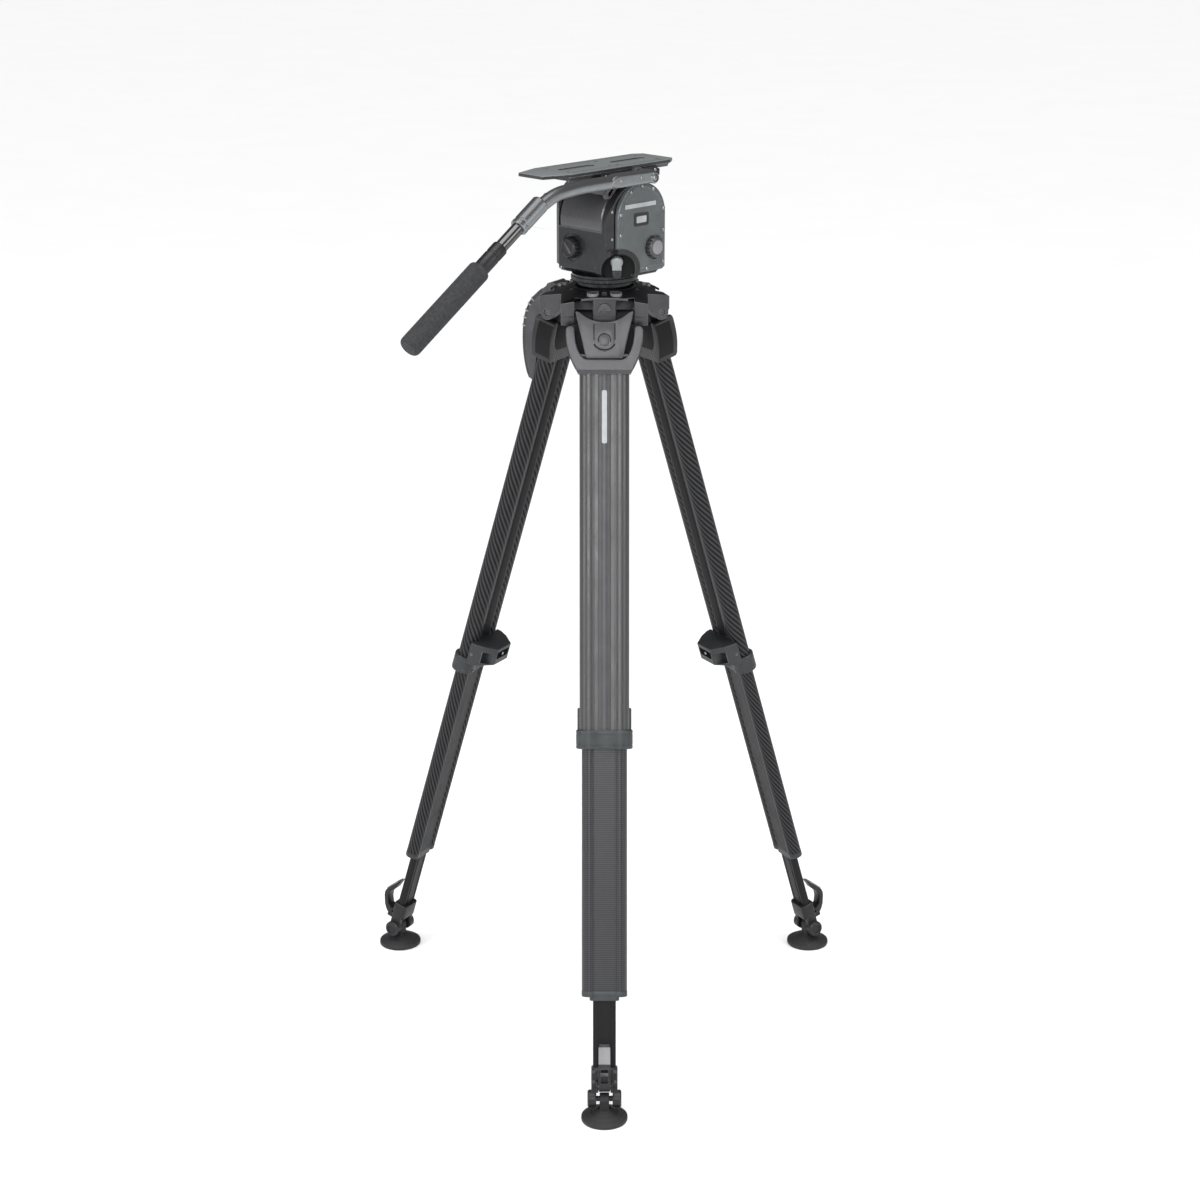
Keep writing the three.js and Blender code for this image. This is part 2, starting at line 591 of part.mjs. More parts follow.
// Slides in the outer tube and is fixed in the grip.
const teleTube = () => slopeRod(7.6, -244, -345);

function grip() {
  return cut(slopeRod(16, -321.4, -455, 20), slopeRod(8, -309, -345.5));
}

function knob(radius, height, lobes) {
  const body = turned([[0, 0], [radius, 0], [radius, height - 2], [radius - 2, height], [0, height]], 18);
  const flutes = Array.from({ length: lobes }, (_, i) => {
    const angle = (i * Math.PI * 2) / lobes;
    const [x, y] = [(radius + 1) * Math.cos(angle), (radius + 1) * Math.sin(angle)];
    return rod('z', 2.6, -1, height + 1, 6).translate(x, y, 0);
  });
  return cut(body, ...flutes);
}

const tiltDragKnob = () => knob(16, 11, 8).rotateX(Math.PI / 2).translate(DRAG_KNOB.x, -65.3, DRAG_KNOB.z);
const counterbalanceKnob = () => knob(16, 12, 8).rotateY(-Math.PI / 2)
  .translate(-50 - GAP, SPRING_KNOB.y, SPRING_KNOB.z);

function panBrakeLever() {
  const hub = rod('y', 9, -66, -50.3).translate(PAN_BRAKE.x, 0, PAN_BRAKE.z);
  const paddle = pushed('xz', outline([[10.5, 1222], [25.5, 1222], [24.5, 1200], [21, 1194], [15, 1194],
    [11.5, 1200]]), -78, -64);
  return rotatedTool(join(hub, paddle));
}

function tiltBrakeLever() {
  const hub = rod('y', 8, 62.3, 75).translate(-26, 0, 1298);
  const arm = pushed('xz', outline([[-24, 1304], [-50, 1306], [-55, 1302], [-54, 1296], [-24, 1292]]), 67, 75);
  return join(hub, arm);
}

function head() {
  const group = new THREE.Group();
  group.rotation.z = THREE.MathUtils.degToRad(HEAD_TURN);
  group.add(
    piece('tie_down_stud', tieDownStud(), steel),
    piece('tie_down_knob', tieDownKnob(), rubber),
    piece('pan_base', panBase(), headBlack),
    piece('housing', housing(), headBlack),
    piece('right_cover', rightCover(), coverGrey),
    piece('left_cover', leftCover(), coverGrey),
    piece('tilt_cradle', tiltCradle(), headBlack),
    piece('tilt_shaft', tiltShaft(), steel),
    piece('drag_rotor', dragRotor(), springSteel),
    piece('counterbalance_spring', counterbalanceSpring(), springSteel),
    piece('platform', platform(), headBlack),
    piece('camera_plate', cameraPlate(), coverGrey),
    piece('plate_lock_lever', plateLockLever(), castGrey),
    piece('handle_clamp', handleClamp(), castGrey),
    piece('pan_bar', panBar(), castGrey),
    piece('telescopic_tube', teleTube(), headBlack),
    piece('grip', grip(), foam),
    piece('tilt_drag_knob', tiltDragKnob(), castGrey),
    piece('counterbalance_knob', counterbalanceKnob(), darkCast),
    piece('pan_brake_lever', panBrakeLever(), castGrey),
    piece('tilt_brake_lever', tiltBrakeLever(), castGrey),
  );
  return group;
}

// ---------------------------------------------------------------- the whole tripod
const tripod = new THREE.Group();
tripod.position.y = AXIS_Y;
for (const [name, turn] of Object.entries(LEG_TURNS)) tripod.add(leg(name, turn));
tripod.add(piece('crown', crown(), castGrey));
tripod.add(piece('half_ball', halfBall(), castGrey));

const handleHang = new THREE.Group();
handleHang.rotation.z = THREE.MathUtils.degToRad(LEG_TURNS.left);
const handle = piece('carry_handle', carryHandle(), rubber);
handle.position.set(0, -PIN_CIRCLE, PIN_HEIGHT);
handleHang.add(handle);
tripod.add(handleHang);
tripod.add(head());

export default tripod;
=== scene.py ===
"""A carbon camera tripod with a fluid head: the detailed pieces, their materials, and the studio."""

import json
import math

import bmesh
import bpy
from mathutils import Matrix, Vector


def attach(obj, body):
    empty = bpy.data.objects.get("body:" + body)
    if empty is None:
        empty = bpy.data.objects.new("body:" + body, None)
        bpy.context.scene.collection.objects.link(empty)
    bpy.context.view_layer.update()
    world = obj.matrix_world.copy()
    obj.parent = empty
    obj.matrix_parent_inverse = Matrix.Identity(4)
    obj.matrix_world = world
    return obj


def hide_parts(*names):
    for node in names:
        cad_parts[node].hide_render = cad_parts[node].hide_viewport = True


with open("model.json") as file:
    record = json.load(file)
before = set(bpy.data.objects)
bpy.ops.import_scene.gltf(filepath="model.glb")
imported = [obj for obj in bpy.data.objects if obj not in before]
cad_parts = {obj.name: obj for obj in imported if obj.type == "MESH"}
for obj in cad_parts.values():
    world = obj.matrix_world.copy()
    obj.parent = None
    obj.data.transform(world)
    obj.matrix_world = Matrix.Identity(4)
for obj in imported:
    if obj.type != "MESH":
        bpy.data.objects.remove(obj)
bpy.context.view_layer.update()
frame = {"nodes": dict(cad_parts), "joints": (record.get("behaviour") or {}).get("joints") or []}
joints = {joint["name"]: joint for joint in frame["joints"]}

MM = 0.001
SHARP_ANGLE = math.radians(30)
LEGS = ("front", "left", "right")

# ------------------------------------------------------------------ sizes, in millimetres
OUTER = {"lobe": 13.8, "reach": 22.9, "web": 11.0, "wall": 1.6}     # upper tube section
INNER = {"lobe": 11.2, "reach": 22.3, "web": 8.8, "wall": 1.5}      # middle tube section
FOOT_TUBE = {"width": 33.9, "depth": 13.0, "corner": 4.0}
LEG_LENGTH = 1151.7
CASTING_END = 83.4
TUBE_TOP, TUBE_END = 66.3, 618.0
COLLAR_TOP, COLLAR_END = 606.0, 634.0
MID_END = 1000.0
ANKLE_TOP = 1104.0
PIN_CIRCLE, PIN_HEIGHT = 62.0, 1135.0
CROWN_TOP = 1172.0
BALL_HEIGHT = 1176.0
BASE_TOP = 1192.0
TILT_X, TILT_Z = 6.0, 1271.0
DRUM_RADIUS, DRUM_HALF = 56.0, 43.0
PLATFORM_BOTTOM, PLATFORM_TOP = 1332.3, 1341.5
PLATE_TOP = 1352.0
HANDLE_X, HANDLE_Y, HANDLE_Z = 14.0, -79.0, 1339.0
STRAIGHT_X, STRAIGHT_Z = -224.5, 1313.4
HANDLE_SLOPE = 0.672
KNOB_Z = 1233.0


# ------------------------------------------------------------------ frames
def leg_frame(leg):
    """Origin on the hinge pin, -Z down the leg, -Y outwards."""
    spread = joints[leg + "_spread"]
    across = -Vector(spread["axis"]).normalized()
    up = -Vector(joints[leg + "_middle_slide"]["axis"]).normalized()
    inwards = up.cross(across)
    turn = Matrix((across, inwards, up)).transposed().to_4x4()
    return Matrix.Translation(Vector(spread["pos_m"])) @ turn


def upright_frame(leg):
    """Origin on the tripod's axis at the floor, -Y towards the leg, +Z up."""
    across = -Vector(joints[leg + "_spread"]["axis"]).normalized()
    up = Vector((0, 0, 1))
    turn = Matrix((across, up.cross(across), up)).transposed().to_4x4()
    return Matrix.Translation(AXIS) @ turn


def at_joint(leg, joint):
    """Origin on a leg's joint, -Y away from the tripod's axis, +Z up."""
    return Matrix.Translation(Vector(joints[f"{leg}_{joint}"]["pos_m"]) - AXIS) @ upright_frame(leg)


AXIS = Vector((joints["pan"]["pos_m"][0], joints["pan"]["pos_m"][1], 0))
LENS_LEFT = Vector(joints["tilt"]["axis"]).normalized()
HEAD = Matrix.Translation(AXIS) @ Matrix(
    (LENS_LEFT.cross(Vector((0, 0, 1))), LENS_LEFT, Vector((0, 0, 1)))).transposed().to_4x4()
CENTRE = Matrix.Translation(AXIS)


# ------------------------------------------------------------------ mesh kit
PLANES = {
    "xy": (Vector((1, 0, 0)), Vector((0, 1, 0)), Vector((0, 0, 1))),
    "xz": (Vector((1, 0, 0)), Vector((0, 0, 1)), Vector((0, 1, 0))),
    "yz": (Vector((0, 1, 0)), Vector((0, 0, 1)), Vector((1, 0, 0))),
}
ACROSS = {"z": "xy", "y": "xz", "x": "yz"}    # the plane across each axis


def arc(u, v, radius, start, end, steps=16):
    angles = [math.radians(start + (end - start) * i / steps) for i in range(steps + 1)]
    return [(u + radius * math.cos(a), v + radius * math.sin(a)) for a in angles]


def mirrored(points):
    return points + [(-u, v) for u, v in reversed(points)]


def rounded_rect(width, depth, corner, steps=6, centre=(0, 0)):
    u, v = width / 2 - corner, depth / 2 - corner
    cu, cv = centre
    points = arc(u, v, corner, 0, 90, steps) + arc(-u, v, corner, 90, 180, steps)
    points += arc(-u, -v, corner, 180, 270, steps) + arc(u, -v, corner, 270, 360, steps)
    return [(a + cu, b + cv) for a, b in points]


def dog_bone(section, grow=0.0):
    radius = section["lobe"] + grow
    meet = math.degrees(math.pi - math.asin((section["web"] + grow) / radius))
    return (arc(section["reach"], 0, radius, -meet, meet, 30)
            + arc(-section["reach"], 0, radius, 180 - meet, 180 + meet, 30))


def polar(radius, count):
    """Points spread evenly round a circle."""
    angles = [2 * math.pi * i / count for i in range(count)]
    return [(radius * math.cos(a), radius * math.sin(a)) for a in angles]


def sided(low, high, side):
    """A span on one side of the middle, or its mirror image on the other."""
    return (low, high) if side > 0 else (-high, -low)


def object_of(bm):
    mesh = bpy.data.meshes.new("shape")
    bm.to_mesh(mesh)
    bm.free()
    obj = bpy.data.objects.new("shape", mesh)
    bpy.context.scene.collection.objects.link(obj)
    return obj


def obj_from(bm):
    bmesh.ops.remove_doubles(bm, verts=bm.verts, dist=1e-4)
    bmesh.ops.recalc_face_normals(bm, faces=bm.faces)
    return object_of(bm)


def prism(points, plane, low, high, soft=0.0, steps=3):
    """An outline drawn in a plane and pushed through the third axis; soft rounds all its edges."""
    u, v, w = PLANES[plane]
    bm = bmesh.new()
    ring = [bm.verts.new(u * a + v * b + w * low) for a, b in points]
    face = bm.faces.new(ring)
    raised = bmesh.ops.extrude_face_region(bm, geom=[face])
    far = [item for item in raised["geom"] if isinstance(item, bmesh.types.BMVert)]
    bmesh.ops.translate(bm, vec=w * (high - low), verts=far)
    bmesh.ops.recalc_face_normals(bm, faces=bm.faces)
    if soft:
        sharp = [e for e in bm.edges if len(e.link_faces) == 2 and e.calc_face_angle() > math.radians(40)]
        bmesh.ops.bevel(bm, geom=sharp, offset=soft, segments=steps, profile=0.5, affect="EDGES", clamp_overlap=True)
    return obj_from(bm)


def turned(profile, axis="z", sides=64, at=(0, 0, 0)):
    """A profile of (radius, height) turned about an axis."""
    u, v, w = PLANES[ACROSS[axis]]
    bm = bmesh.new()
    origin = Vector(at)
    rings = []
    for radius, height in profile:
        if radius < 1e-6:
            rings.append([bm.verts.new(origin + w * height)])
            continue
        rings.append([bm.verts.new(origin + w * height + u * a + v * b) for a, b in polar(radius, sides)])
    for low, high in zip(rings, rings[1:]):
        for i in range(sides):
            j = (i + 1) % sides
            quad = [low[i % len(low)], low[j % len(low)], high[j % len(high)], high[i % len(high)]]
            corners = list(dict.fromkeys(quad))
            if len(corners) > 2:
                bm.faces.new(corners)
    for ring in (rings[0], rings[-1]):
        if len(ring) > 1:
            bm.faces.new(ring)
    return obj_from(bm)


def rod(axis, radius, low, high, at=(0, 0, 0), sides=48, ease=0.0):
    ends = [(radius - ease, low), (radius, low + ease), (radius, high - ease), (radius - ease, high)]
    if not ease:
        ends = [(radius, low), (radius, high)]
    return turned([(0, low)] + ends + [(0, high)], axis, sides, at)


def block(x, y, z, soft=0.0):
    return prism([(x[0], y[0]), (x[1], y[0]), (x[1], y[1]), (x[0], y[1])], "xy", z[0], z[1], soft)


def baked(obj):
    """The object with its modifiers applied."""
    depsgraph = bpy.context.evaluated_depsgraph_get()
    mesh = bpy.data.meshes.new_from_object(obj.evaluated_get(depsgraph), depsgraph=depsgraph)
    old = obj.data
    obj.modifiers.clear()
    obj.data = mesh
    bpy.data.meshes.remove(old)
    return obj


def boolean(base, operation, tools):
    for tool in tools:
        modifier = base.modifiers.new("boolean", "BOOLEAN")
        modifier.operation = operation
        modifier.solver = "MANIFOLD"
        modifier.object = tool
    baked(base)
    for tool in tools:
        bpy.data.objects.remove(tool)
    return base


def join(base, *tools):
    return boolean(base, "UNION", tools)


def cut(base, *tools):
    return boolean(base, "DIFFERENCE", tools)


def common(base, *tools):
    return boolean(base, "INTERSECT", tools)


def gathered(*parts):
    """Separate solids kept together in one piece."""
    bm = bmesh.new()
    for part in parts:
        part.data.transform(part.matrix_world)
        bm.from_mesh(part.data)
        bpy.data.objects.remove(part)
    return object_of(bm)


def moved(obj, matrix):
    obj.data.transform(matrix)
    return obj


def shifted(obj, x=0, y=0, z=0):
    return moved(obj, Matrix.Translation((x, y, z)))


def turned_by(obj, degrees):
    return moved(obj, Matrix.Rotation(math.radians(degrees), 4, "Z"))


def swept(points, section, axis_hint):
    """A closed section carried along a line of points, ends capped. The section's u follows axis_hint."""
    bm = bmesh.new()
    rings = []
    for i, point in enumerate(points):
        ahead = points[min(i + 1, len(points) - 1)] - points[max(i - 1, 0)]
        along = ahead.normalized()
        u = (axis_hint - along * axis_hint.dot(along)).normalized()
        v = along.cross(u)
        rings.append([bm.verts.new(point + u * a + v * b) for a, b in section])
    for low, high in zip(rings, rings[1:]):
        for i in range(len(section)):
            j = (i + 1) % len(section)
            bm.faces.new((low[i], low[j], high[j], high[i]))
    bm.faces.new(rings[0])
    bm.faces.new(rings[-1])
    return obj_from(bm)


def spline(points, steps):
    """A smooth line through points (Catmull-Rom)."""
    line = []
    pts = [points[0] * 2 - points[1]] + points + [points[-1] * 2 - points[-2]]
    for i in range(1, len(pts) - 2):
        p0, p1, p2, p3 = pts[i - 1:i + 3]
        for s in range(steps):
            t = s / steps
            line.append(0.5 * ((2 * p1) + (p2 - p0) * t + (2 * p0 - 5 * p1 + 4 * p2 - p3) * t * t
                               + (3 * p1 - p0 - 3 * p2 + p3) * t * t * t))
    line.append(points[-1])
    return line


def plain_name(material):
    """A material's name without the number that Blender adds when the CAD has one of the same name."""
    return material.name.split(".")[0]


def piece(name, shape, where, body, material, stands_for=None, bevel=0.4):
    """Names a shape, puts it in its frame in metres, eases its edges and makes it ride on a body."""
    shape.name = shape.data.name = name
    shape.data.transform(where.to_3x3().to_4x4() @ Matrix.Scale(MM, 4))
    shape.data.materials.clear()
    shape.data.materials.append(material)
    shape.matrix_world = Matrix.Translation(where.translation)
    for polygon in shape.data.polygons:
        polygon.use_smooth = True
    shape.data.set_sharp_from_angle(angle=SHARP_ANGLE)
    if bevel:
        ease = shape.modifiers.new("edges", "BEVEL")
        ease.width = bevel * MM
        ease.segments = 2
        ease.limit_method = "ANGLE"
        ease.angle_limit = SHARP_ANGLE
        ease.harden_normals = True
        ease.miter_outer = "MITER_ARC"
    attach(shape, body)
    if stands_for:
        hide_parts(stands_for)
    return shape


# ------------------------------------------------------------------ materials
NOISE_ROUGHNESS = 0.55
GRAIN_DEPTH, WEAVE_DEPTH = 0.0004, 0.0003     # metres
# Paler edges: part rubbed wear, part painted highlight.
WEAR_AND_HIGHLIGHT_WIDTH = 0.0012                           # metres
WEAR_AND_HIGHLIGHT_GAIN, WEAR_AND_HIGHLIGHT_LIMIT = 5.0, 0.8
STRIPE_SLANT = 1.6                            # how much steeper the striped twill's diagonals are
THREAD_SHADOW = (0.004, 0.004, 0.005)


class Finish:
    """A material built in short calls, each of which returns an output socket."""

    def __init__(self, name):
        self.material = bpy.data.materials.new(name)
        self.material.use_nodes = True
        self.nodes = self.material.node_tree.nodes
        self.shader = self.nodes["Principled BSDF"]

    def feed(self, node, inputs):
        """Sets each input to its number or colour, or links it to a socket."""
        for name, value in inputs.items():
            if isinstance(value, bpy.types.NodeSocket):
                self.material.node_tree.links.new(value, node.inputs[name])
            else:
                node.inputs[name].default_value = (*value, 1) if isinstance(value, tuple) else value

    def node(self, kind, inputs=None, output=0, **settings):
        made = self.nodes.new("ShaderNode" + kind)
        for name, value in settings.items():
            setattr(made, name, value)
        self.feed(made, inputs or {})
        return made.outputs[output]

    def noise(self, place, scale, detail):
        return self.node("TexNoise", {"Vector": place, "Scale": scale, "Detail": detail,
                                      "Roughness": NOISE_ROUGHNESS}, "Fac")

    def ramp(self, value, low, high, window=(0.3, 0.7)):
        return self.node("MapRange", {"Value": value, "From Min": window[0], "From Max": window[1],
                                      "To Min": low, "To Max": high}, "Result")

    def mix(self, factor, first, second):
        """A colour mix: sockets 6 and 7 are its two colours, and output 2 its colour."""
        return self.node("Mix", {0: factor, 6: first, 7: second}, 2, data_type="RGBA")

    def math(self, operation, *values):
        return self.node("Math", dict(enumerate(values)), operation=operation)

    def coordinate(self, vector, axis):
        return self.node("SeparateXYZ", {0: vector}, axis)

    def done(self, height=None, strength=0.0, depth=0.0, **inputs):
        """The finished material, with its relief and the shader's inputs."""
        if height:
            relief = {"Height": height, "Strength": strength, "Distance": depth}
            inputs["Normal"] = self.node("Bump", relief, "Normal")
        self.feed(self.shader, {name.replace("_", " "): value for name, value in inputs.items()})
        return self.material


def surface(name, color, dark, roughness, metallic=0.0, grain=900.0, bump=0.15, mottle=40.0, wear_and_edge_highlight=None,
            spread=0.1, coat=0.0, specular=0.5, upper=None):
    """A finish with slow colour drift, fine grain in its relief and gloss, and paler edges, which are part rubbed
    wear and part painted highlight. Faces that point up at rest take the colour `upper`, if it is given: painted
    shade on the crown's tops, a painted highlight on the plate's, a painted reflection on the bar's."""
    finish = Finish(name)
    place = finish.node("TexCoord", output="Object")
    fine = finish.noise(place, grain, 2)
    tint = finish.mix(finish.ramp(finish.noise(place, mottle, 4), 0, 1), dark, color)
    # Painted light and shade: faces that point up at rest take the colour `upper`.
    if upper:
        rise = finish.coordinate(finish.node("TexCoord", output="Normal"), "Z")
        tint = finish.mix(finish.ramp(rise, 0, 1, (0.2, 0.3)), tint, upper)
    # Part rubbed wear, part painted highlight: edges, found where the bevelled normal turns, go paler.
    if wear_and_edge_highlight:
        rounded = finish.node("Bevel", {"Radius": WEAR_AND_HIGHLIGHT_WIDTH}, "Normal", samples=4)
        flat = finish.node("NewGeometry", output="Normal")
        likeness = finish.node("VectorMath", {0: rounded, 1: flat}, "Value", operation="DOT_PRODUCT")
        edge = finish.math("MULTIPLY", finish.math("SUBTRACT", 1.0, likeness), WEAR_AND_HIGHLIGHT_GAIN)
        edge = finish.math("MULTIPLY", edge, finish.ramp(finish.noise(place, 160, 3), 0.1, 1))
        tint = finish.mix(finish.math("MINIMUM", edge, WEAR_AND_HIGHLIGHT_LIMIT), tint, wear_and_edge_highlight)
    return finish.done(fine, bump, GRAIN_DEPTH, Base_Color=tint, Metallic=metallic, Specular_IOR_Level=specular,
                       Roughness=finish.ramp(fine, roughness - spread, roughness + spread),
                       Coat_Weight=coat, Coat_Roughness=0.12)


def carbon(name, tow, light, dark, roughness, relief, coat, specular, striped=False):
    """Twill-woven carbon under clear coat: tows cross in steps, each thread faintly rounded. A striped one
    shows the twill's diagonals."""
    finish = Finish(name)
    place = finish.node("Attribute", output="Vector", attribute_name="weave")
    across = finish.math("MULTIPLY", finish.coordinate(place, "X"), STRIPE_SLANT if striped else 1.0)
    along = finish.coordinate(place, "Z")
    diagonal = tow * 1.414
    u = finish.math("DIVIDE", finish.math("ADD", across, along), diagonal)
    v = finish.math("DIVIDE", finish.math("SUBTRACT", along, across), diagonal)
    step = finish.math("FLOOR", u)
    if not striped:
        step = finish.math("ADD", step, finish.math("FLOOR", v))
    over = finish.math("GREATER_THAN", finish.math("FLOORED_MODULO", step, 2.0), 0.5)
    height = finish.mix(over, finish.math("PINGPONG", u, 0.5), finish.math("PINGPONG", v, 0.5))
    threads = finish.ramp(finish.noise(place, 2200, 2), 0.0, 0.35)
    tint = finish.mix(threads, finish.mix(over, dark, light), THREAD_SHADOW)
    return finish.done(height, relief, WEAVE_DEPTH, Base_Color=tint,
                       Roughness=finish.ramp(finish.noise(place, 30, 3), roughness - 0.05, roughness + 0.07),
                       Coat_Weight=coat, Coat_Roughness=0.28, Specular_IOR_Level=specular)


CAST = surface("cast_grey", (0.056, 0.054, 0.06), (0.04, 0.039, 0.043), 0.42, metallic=0.25, bump=0.2,
               wear_and_edge_highlight=(0.2, 0.2, 0.215), coat=0.1, specular=0.4)
# Painted shade: the crown's faces that point up at rest are near black, its other faces grey.
CROWN = surface("crown_grey", (0.052, 0.051, 0.056), (0.038, 0.037, 0.041), 0.44, metallic=0.2, bump=0.2,
                wear_and_edge_highlight=(0.26, 0.26, 0.28), specular=0.35, upper=(0.006, 0.006, 0.007))
DARK = surface("dark_cast", (0.013, 0.013, 0.015), (0.008, 0.008, 0.009), 0.42, metallic=0.2, bump=0.25,
               wear_and_edge_highlight=(0.1, 0.1, 0.11), specular=0.4)
SHADE = surface("shade_black", (0.006, 0.006, 0.0065), (0.004, 0.004, 0.0045), 0.6, bump=0.2, specular=0.15)
BLACK = surface("head_black", (0.016, 0.0165, 0.018), (0.011, 0.0115, 0.0125), 0.36, metallic=0.15, bump=0.2,
                wear_and_edge_highlight=(0.09, 0.095, 0.1), coat=0.1, specular=0.35)
DRUM = surface("drum_black", (0.045, 0.045, 0.049), (0.036, 0.036, 0.039), 0.34, bump=0.12, coat=0.3)
COVER = surface("cover_grey", (0.085, 0.096, 0.1), (0.064, 0.073, 0.076), 0.36, metallic=0.3, bump=0.2,
                wear_and_edge_highlight=(0.26, 0.27, 0.28), coat=0.15)
# Painted light: the plate's faces that point up at rest are pale grey, its other faces dark.
PLATE = surface("plate_grey", (0.03, 0.032, 0.034), (0.02, 0.022, 0.023), 0.4, metallic=0.2, bump=0.25,
                wear_and_edge_highlight=(0.3, 0.31, 0.32), upper=(0.19, 0.205, 0.208))
PADDLE = surface("paddle_grey", (0.24, 0.255, 0.26), (0.18, 0.19, 0.195), 0.38, metallic=0.2, bump=0.15)
# Painted reflection: the bar's faces that point up at rest take a darker grey, as if mirroring a dark ceiling.
BAR = surface("bar_grey", (0.2, 0.212, 0.22), (0.17, 0.18, 0.187), 0.34, metallic=0.6, bump=0.03, spread=0.03,
              upper=(0.085, 0.088, 0.092))
COLLAR = surface("collar_plastic", (0.03, 0.035, 0.038), (0.02, 0.024, 0.026), 0.5, grain=1400, bump=0.3)
# Painted shade: a darker copy of the collar plastic, for the rear legs.
SHADOW = surface("collar_painted_shade", (0.016, 0.018, 0.02), (0.01, 0.0115, 0.0125), 0.45, grain=1400, bump=0.3,
                 wear_and_edge_highlight=(0.1, 0.11, 0.115))
STEEL = surface("steel", (0.36, 0.36, 0.375), (0.26, 0.26, 0.27), 0.36, metallic=1.0, grain=2400, bump=0.1)
SPRING = surface("spring_steel", (0.35, 0.36, 0.38), (0.26, 0.26, 0.28), 0.38, metallic=1.0, grain=2000, bump=0.15)
RUBBER = surface("rubber", (0.014, 0.014, 0.015), (0.008, 0.008, 0.009), 0.66, grain=1600, bump=0.5)
FOAM = surface("foam", (0.032, 0.033, 0.036), (0.016, 0.0165, 0.018), 0.88, grain=1500, bump=1.0, mottle=220)
LABEL = surface("label", (0.36, 0.37, 0.38), (0.27, 0.28, 0.29), 0.45, bump=0.05)
TAG = surface("tag_grey", (0.2, 0.2, 0.21), (0.15, 0.15, 0.16), 0.5, bump=0.1)
INLAY = surface("inlay", (0.05, 0.05, 0.053), (0.036, 0.036, 0.039), 0.42, grain=1800, bump=0.2)
GLOSS = surface("gloss_black", (0.012, 0.012, 0.013), (0.01, 0.01, 0.011), 0.2, bump=0.04, coat=0.7)
SMOOTH = carbon("carbon", 0.0022, (0.02, 0.02, 0.022), (0.013, 0.013, 0.014), 0.42, 0.03, 0.1, 0.8)
# Painted shade: a darker, less glossy copy of the carbon, its twill striped, for the rear legs.
SHADED = carbon("carbon_painted_shade", 0.0042, (0.042, 0.042, 0.045), (0.004, 0.004, 0.0045), 0.42, 0.05, 0.05, 0.12,
                striped=True)
PLAIN = carbon("carbon_plain", 0.0022, (0.009, 0.009, 0.0095), (0.006, 0.006, 0.0065), 0.42, 0.02, 0.05, 0.15)
WOVEN = carbon("carbon_weave", 0.0022, (0.05, 0.05, 0.054), (0.01, 0.01, 0.011), 0.38, 0.15, 0.2, 0.3)


# ------------------------------------------------------------------ one leg's pieces
# Drawn in the leg's own frame, and placed three times.
def screw_head(radius, height, axis, at, side):
    """A domed socket-head screw; side says which way along the axis it faces."""
    dome = [(0, 0), (radius, 0), (radius, height * 0.45), (radius * 0.82, height * 0.85), (radius * 0.6, height),
            (0, height)]
    head = turned([(r, h * side) for r, h in dome], axis, 32, at)
    socket = prism(polar(0.45 * radius, 6), ACROSS[axis], *sided(height * 0.5, height * 1.5, side))
    return cut(head, shifted(socket, *at))


def hinge_cuts():
    return [prism(dog_bone(OUTER, 0.3), "xy", -CASTING_END - 1, -TUBE_TOP + 0.3), rod("x", 5.3, -60, 60),
            rod("x", 3.3, -41, 41, at=(0, -14, -57))]


def yoke_shape():
    """The casting's bowl with its two arms, seen from the front."""
    outer = [(38.5, -CASTING_END), (42.5, -75), (46.5, -67), (50.5, -58), (53.6, -48), (55.6, -38), (56.6, -28),
             (56.6, -19), (55.4, -15.6)]
    inner = [(52, -13.8), (47, -13.8), (44.6, -16), (43.4, -28), (42, -38), (39.4, -47), (35.4, -55), (31, -60),
             (26, -62.6)]
    lip = prism([(-21, -CASTING_END - 1), (-21, -76), (-15.4, -CASTING_END - 1)], "yz", -60, 60)
    return cut(prism(mirrored(outer + inner), "xz", -20, 14, 5.2, 8), lip, *hinge_cuts())


# The casting's back and knuckles, made in shade black as painted shade inside the casting.
def casting_core_shape():
    back = block((-43.2, 43.2), (-6.5, 13.6), (-64, -18), 1.2)
    knuckles = []
    for side in (1, -1):
        span = sided(17.2, 43.5, side)
        knuckles += [rod("x", 12, *span, sides=64, ease=0.8), block(span, (-7.5, 11.5), (-22, 0), 0.6)]
    return cut(join(back, *knuckles), *hinge_cuts())


def cheek_shade_shape():
    """Painted shade: thin dark sheets on the casting's side faces, standing in for the shade there."""
    line = [(42.9, -75), (46.9, -67), (50.9, -58), (54, -48), (55.9, -38), (56.8, -28), (56.8, -19)]
    face = line + [(x - 2, z) for x, z in reversed(line)]
    return gathered(*[prism([(x * s, z) for x, z in face], "xz", -12, 13) for s in (1, -1)])


def lever_groove_shade_shape():
    """Painted shade: dark strips in the grooves round the lever's panel and its thumb pad."""
    smile = prism(arc(0, -31, 16.9, 212, 328, 20) + arc(0, -31, 18.9, 328, 212, 20), "xz", -22.45, -20)
    ring = prism(arc(0, -34.5, 8.1, -20, 200, 20) + arc(0, -34.5, 9.9, 200, -20, 20), "xz", -22.45, -20)
    sides = [block((15.3 * s - 0.7, 15.3 * s + 0.7), (-22.45, -19), (-34, -10)) for s in (1, -1)]
    return gathered(smile, ring, *sides)


